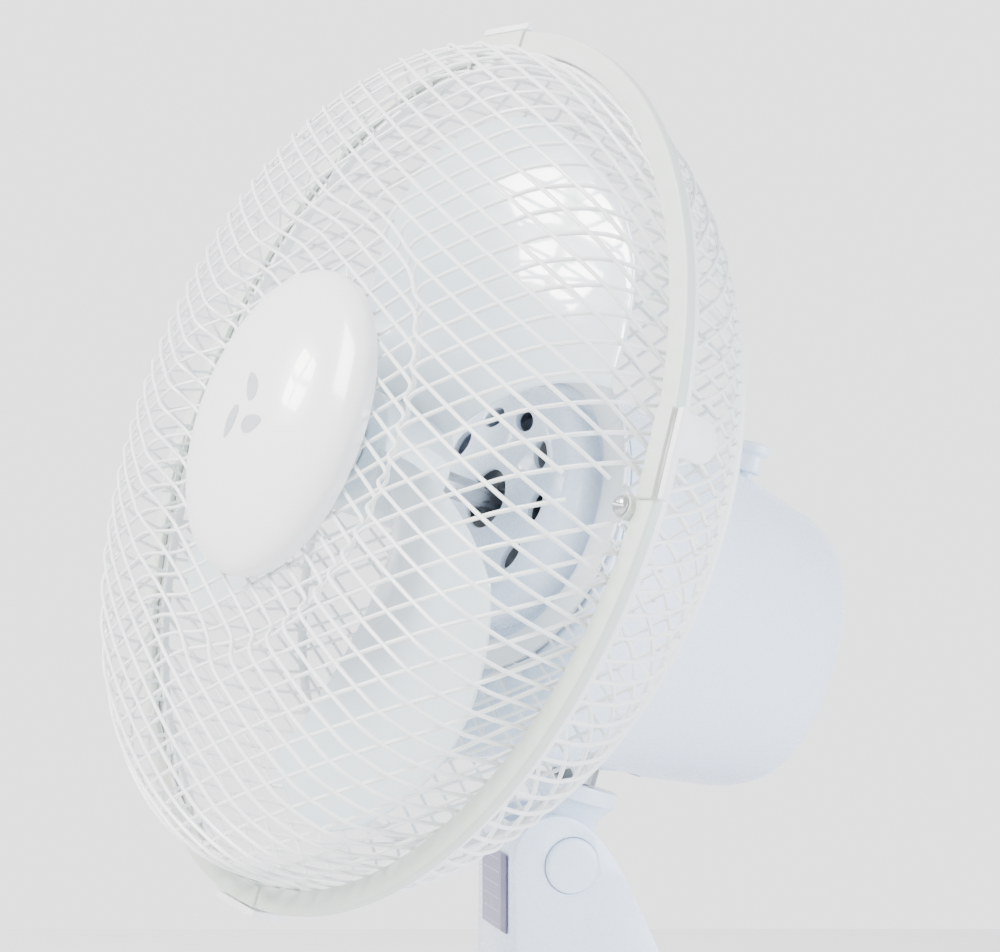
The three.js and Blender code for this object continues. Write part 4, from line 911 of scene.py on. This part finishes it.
def label_material():
    """Printed film: a grey violet ground, a darker strip down one side, and blank fields with thin rules."""
    material, tree, shader, bump = new_material("label film")
    place = tree.nodes.new("ShaderNodeTexCoord").outputs["Object"]
    apart = tree.nodes.new("ShaderNodeSeparateXYZ")
    tree.links.new(place, apart.inputs[0])
    across_plate, up_plate = apart.outputs["X"], apart.outputs["Z"]
    strip_mask = maths(tree, "GREATER_THAN", across_plate, 7.2 * MM)
    stripe = maths(tree, "PINGPONG", maths(tree, "SUBTRACT", up_plate, 107.5 * MM), 2.1 * MM)
    rule = maths(tree, "LESS_THAN", stripe, 0.12 * MM)
    from_middle = maths(tree, "ABSOLUTE", maths(tree, "ADD", across_plate, 2.4 * MM), 0.0)
    field = maths(tree, "LESS_THAN", from_middle, 7.6 * MM)
    rules = maths(tree, "MULTIPLY", rule, field)
    cloud = noise(tree, place, 220.0, 3.0)
    ground = blend_colour(tree, cloud, rgb(0.235, 0.225, 0.33), rgb(0.275, 0.265, 0.37))
    striped = blend_colour(tree, strip_mask, ground, rgb(0.12, 0.11, 0.2))
    tree.links.new(blend_colour(tree, rules, striped, rgb(0.5, 0.5, 0.6)), shader.inputs["Base Color"])
    tree.links.new(spread(tree, cloud, 0.3, 0.7, 0.34, 0.5), shader.inputs["Roughness"])
    tree.links.new(cloud, bump.inputs["Height"])
    bump.inputs["Distance"].default_value = 0.03 * MM
    return material


finishes["grey_label"] = label_material()
plate = box_grid(-12, 12, -13.5, -12.9, 106, 131, power=24, edge=0.15)
make("label", [plate], "base", "grey_label", ["rating_plate"])


# %% [markdown]
# ## The base
#
# A round moulded shell with a raised pad for the column and a panel for three speed buttons. The shell is a
# lathe shape with a wall, the panel is joined to it, and the windows for the buttons are cut through both.

# %% Base shell
def at_gland(points):
    """Points about the gland's axis, which runs backwards low down in the base."""
    return of_base(points + [0, 0, 10.8])


base_outer = soften(
    [[0, 38], [36, 38], [40, 36.5], [50, 33], [76, 23], [86, 17], [88, 12], [88, 3.3]], 2.4, 6
)
base_inner = [[85.5, 3.3], [85.5, 11], [82.5, 15], [73.5, 20.2], [48, 30.5], [36, 35.5], [0, 35.5]]
base_turned = upright(np.vstack([base_outer, base_inner]), 200)
shell = make("base_cover", [base_turned], "base", "white_plastic", ["base_shell"], sharp=30)
panel = box_grid(-32.5, 32.5, -73.5, -46.5, 12, 30, power=16, around=96, edge=1.2)
carve(shell, [panel], operation="UNION")
windows = [box_grid(x - 7.5, x + 7.5, -68.5, -51.5, 20, 50, power=16, edge=0.4) for x in (-19, 0, 19)]
gland_hole = turned([[0, 76], [3.9, 76], [3.9, 95], [0, 95]], 32, place=at_gland)
wire_hole = upright([[0, 30], [7, 30], [7, 45], [0, 45]], 32)
carve(shell, [*windows, gland_hole, wire_hole], sharp=30, bevel=0.5)

# %% [markdown]
# Each button is a block with a dished crown. One, two or no raised dots tell them apart by touch.

# %% Buttons, feet and gland
def button(x, around=64):
    """A squarish loft with a hollow crown: the last rings step down a little towards the middle."""
    c, s = squared(9, around)
    levels = [[20.5, 1], [31.8, 1], [32.9, 0.97], [33.4, 0.9], [33.5, 0.82], [33.1, 0.55], [32.95, 0.25]]
    z, share = (np.array(column)[:, None] for column in zip(*levels))
    return grid(of_base(np.stack([x + 7 * share * c, -60 + 8 * share * s, z + 0 * c], -1)), filled=True)


def dot(x, y):
    """A low dome: height falls with the square of the radius."""
    r = np.linspace(0, 1, 7)
    return upright(np.stack([np.append(r, 0), np.append(33.5 - 0.5 * r**2, 32.8)], -1), 20, x=x, y=y)


for name, x, dots in (("off", -19, []), ("low", 0, [0]), ("high", 19, [-2, 2])):
    collar = box_grid(x - 8.2, x + 8.2, -69.2, -50.8, 20.5, 27.2, power=14, edge=0.4)
    stem = upright([[0, 14.5], [3.2, 14.5], [3.2, 21], [0, 21]], 24, x=x, y=-60)
    parts = [button(x), collar, stem] + [dot(x + shift, -60) for shift in dots]
    make(f"speed_{name}", parts, f"button_{name}", "white_plastic", [f"button_{name}"], sharp=45)

foot_outline = soften([[0, 0], [6.2, 0], [7, 0.8], [7, 3], [0, 3]], 0.4, 4)
foot_circle = 72
foot_angles = [math.radians(45 + 90 * i) for i in range(4)]
foot_places = {
    f"foot_{i + 1}": (foot_circle * math.cos(angle), foot_circle * math.sin(angle))
    for i, angle in enumerate(foot_angles)
}
for node, (x, y) in {**foot_places, "foot_centre": (0.0, 0.0)}.items():
    make(f"pad_{node}", [upright(foot_outline, 48, x=x, y=y)], "base", "rubber", [node])

gland_corners = [[2.4, 79], [3.6, 79], [3.6, 80], [4.6, 80], [4.6, 81.5], [3.6, 81.5], [3.6, 87], [2.4, 87]]
gland_outline = soften(gland_corners, 0.3, 4, closed=True)
make("gland", [turned(gland_outline, 48, closed=True, place=at_gland)], "base", "black_plastic",
     ["cord_gland"])

# %% [markdown]
# The pieces inside keep the engineering model's shapes: the motor, its gears, the bolt and the weight in the
# base. Each one's material slot is named for its finish, so the finishes are put into those by name.

# %% Finishes of the engineering model's own pieces
for node in frame["nodes"].values():
    for place in node.material_slots:
        place.material = finishes[place.material.name.split(".")[0]]
print("inner pieces finished", len(frame["nodes"]))


# %% [markdown]
# ## Stage, light and camera
#
# The fan stands on a pale table in a pale room whose far wall is the brightest part. Two soft lights give the
# broad highlights that polished plastic shows, and four small panes stand in for a distant window, which the
# blades mirror. The camera is low and close, so the guard looks large and its rim draws in towards the far
# side.

# %% Table and light
bearing = math.radians(71.45)
camera_right = np.array([math.cos(bearing), math.sin(bearing), 0.0])
camera_back = np.array([math.sin(bearing), -math.cos(bearing), 0.0])
eye = rim_centre + (37.4 * camera_right + 603.2 * camera_back - [0, 0, 5.5]) * MM


def stage_place(across_view, away, height):
    """A point by how far it is to the camera's right, how far from the camera, and how high."""
    ground = eye * [1, 1, 0] + across_view * camera_right - away * camera_back
    return ground + [0, 0, height]


corners = [stage_place(side, away, 0.0) for side, away in ((-4, -3), (4, -3), (4, 1.11), (-4, 1.11))]
table_mesh = bpy.data.meshes.new("table")
table_mesh.from_pydata([tuple(corner) for corner in corners], [], [(0, 1, 2, 3)])
table_top = plastic("table top", rgb(0.8, 0.8, 0.8), rgb(0.78, 0.78, 0.785), 0.5, dust=0.0)
table_mesh.materials.append(table_top)
table = bpy.data.objects.new("table", table_mesh)
bpy.context.collection.objects.link(table)

world = bpy.data.worlds.new("room")
world.use_nodes = True
room = world.node_tree
sky = room.nodes["Background"]
direction = room.nodes.new("ShaderNodeTexCoord")
facing = room.nodes.new("ShaderNodeVectorMath")
facing.operation = "DOT_PRODUCT"
facing.inputs[1].default_value = tuple(-camera_back)
wall = room.nodes.new("ShaderNodeMapRange")
for label, value in {"From Min": 0.45, "From Max": 0.93, "To Min": 1.15, "To Max": 2.7}.items():
    wall.inputs[label].default_value = value
room.links.new(direction.outputs["Generated"], facing.inputs[0])
room.links.new(facing.outputs["Value"], wall.inputs["Value"])
room.links.new(wall.outputs["Result"], sky.inputs["Strength"])
sky.inputs["Color"].default_value = rgb(0.93, 0.94, 0.97)
bpy.context.scene.world = world


def soft_light(name, place, aim, size, power, colour):
    """A square area light at a place, turned so that it shines at a point."""
    light = bpy.data.lights.new(name, "AREA")
    light.size = size
    light.energy = power
    light.color = colour
    lamp = bpy.data.objects.new(name, light)
    bpy.context.collection.objects.link(lamp)
    back = np.array(place) - np.array(aim)
    back /= np.linalg.norm(back)
    right = np.cross([0, 0, 1.0], back)
    right /= np.linalg.norm(right)
    turn = np.eye(4)
    turn[:3, :3] = np.array([right, np.cross(back, right), back]).T
    turn[:3, 3] = place
    lamp.matrix_world = Matrix(turn)
    return lamp


soft_light("window", stage_place(-0.9, 0.1, 1.3), rim_centre, 0.7, 70, (1.0, 0.985, 0.97))
soft_light("fill", stage_place(1.1, 0.1, 0.35), rim_centre, 0.8, 30, (0.80, 0.88, 1.0))

panes_middle = stage_place(-1.055, 0.857, 0.771)
blade_face = rim_centre + [0.0515, 0.0417, 0.064]
for column in (-1, 1):
    for row in (-1, 1):
        pane = panes_middle + column * 0.05 * camera_back + [0, 0, row * 0.055]
        soft_light(f"pane_{column}_{row}", pane, blade_face, 0.075, 1.3, (1.0, 0.96, 0.87))

# %% Camera
lens = bpy.data.cameras.new("camera")
lens.lens = 72
lens.sensor_width = 36
camera = bpy.data.objects.new("camera", lens)
bpy.context.collection.objects.link(camera)
view = np.eye(4)
view[:3, :3] = np.array([camera_right, [0, 0, 1], camera_back]).T
view[:3, 3] = eye
camera.matrix_world = Matrix(view)
bpy.context.scene.camera = camera
print("camera at", eye.round(4))
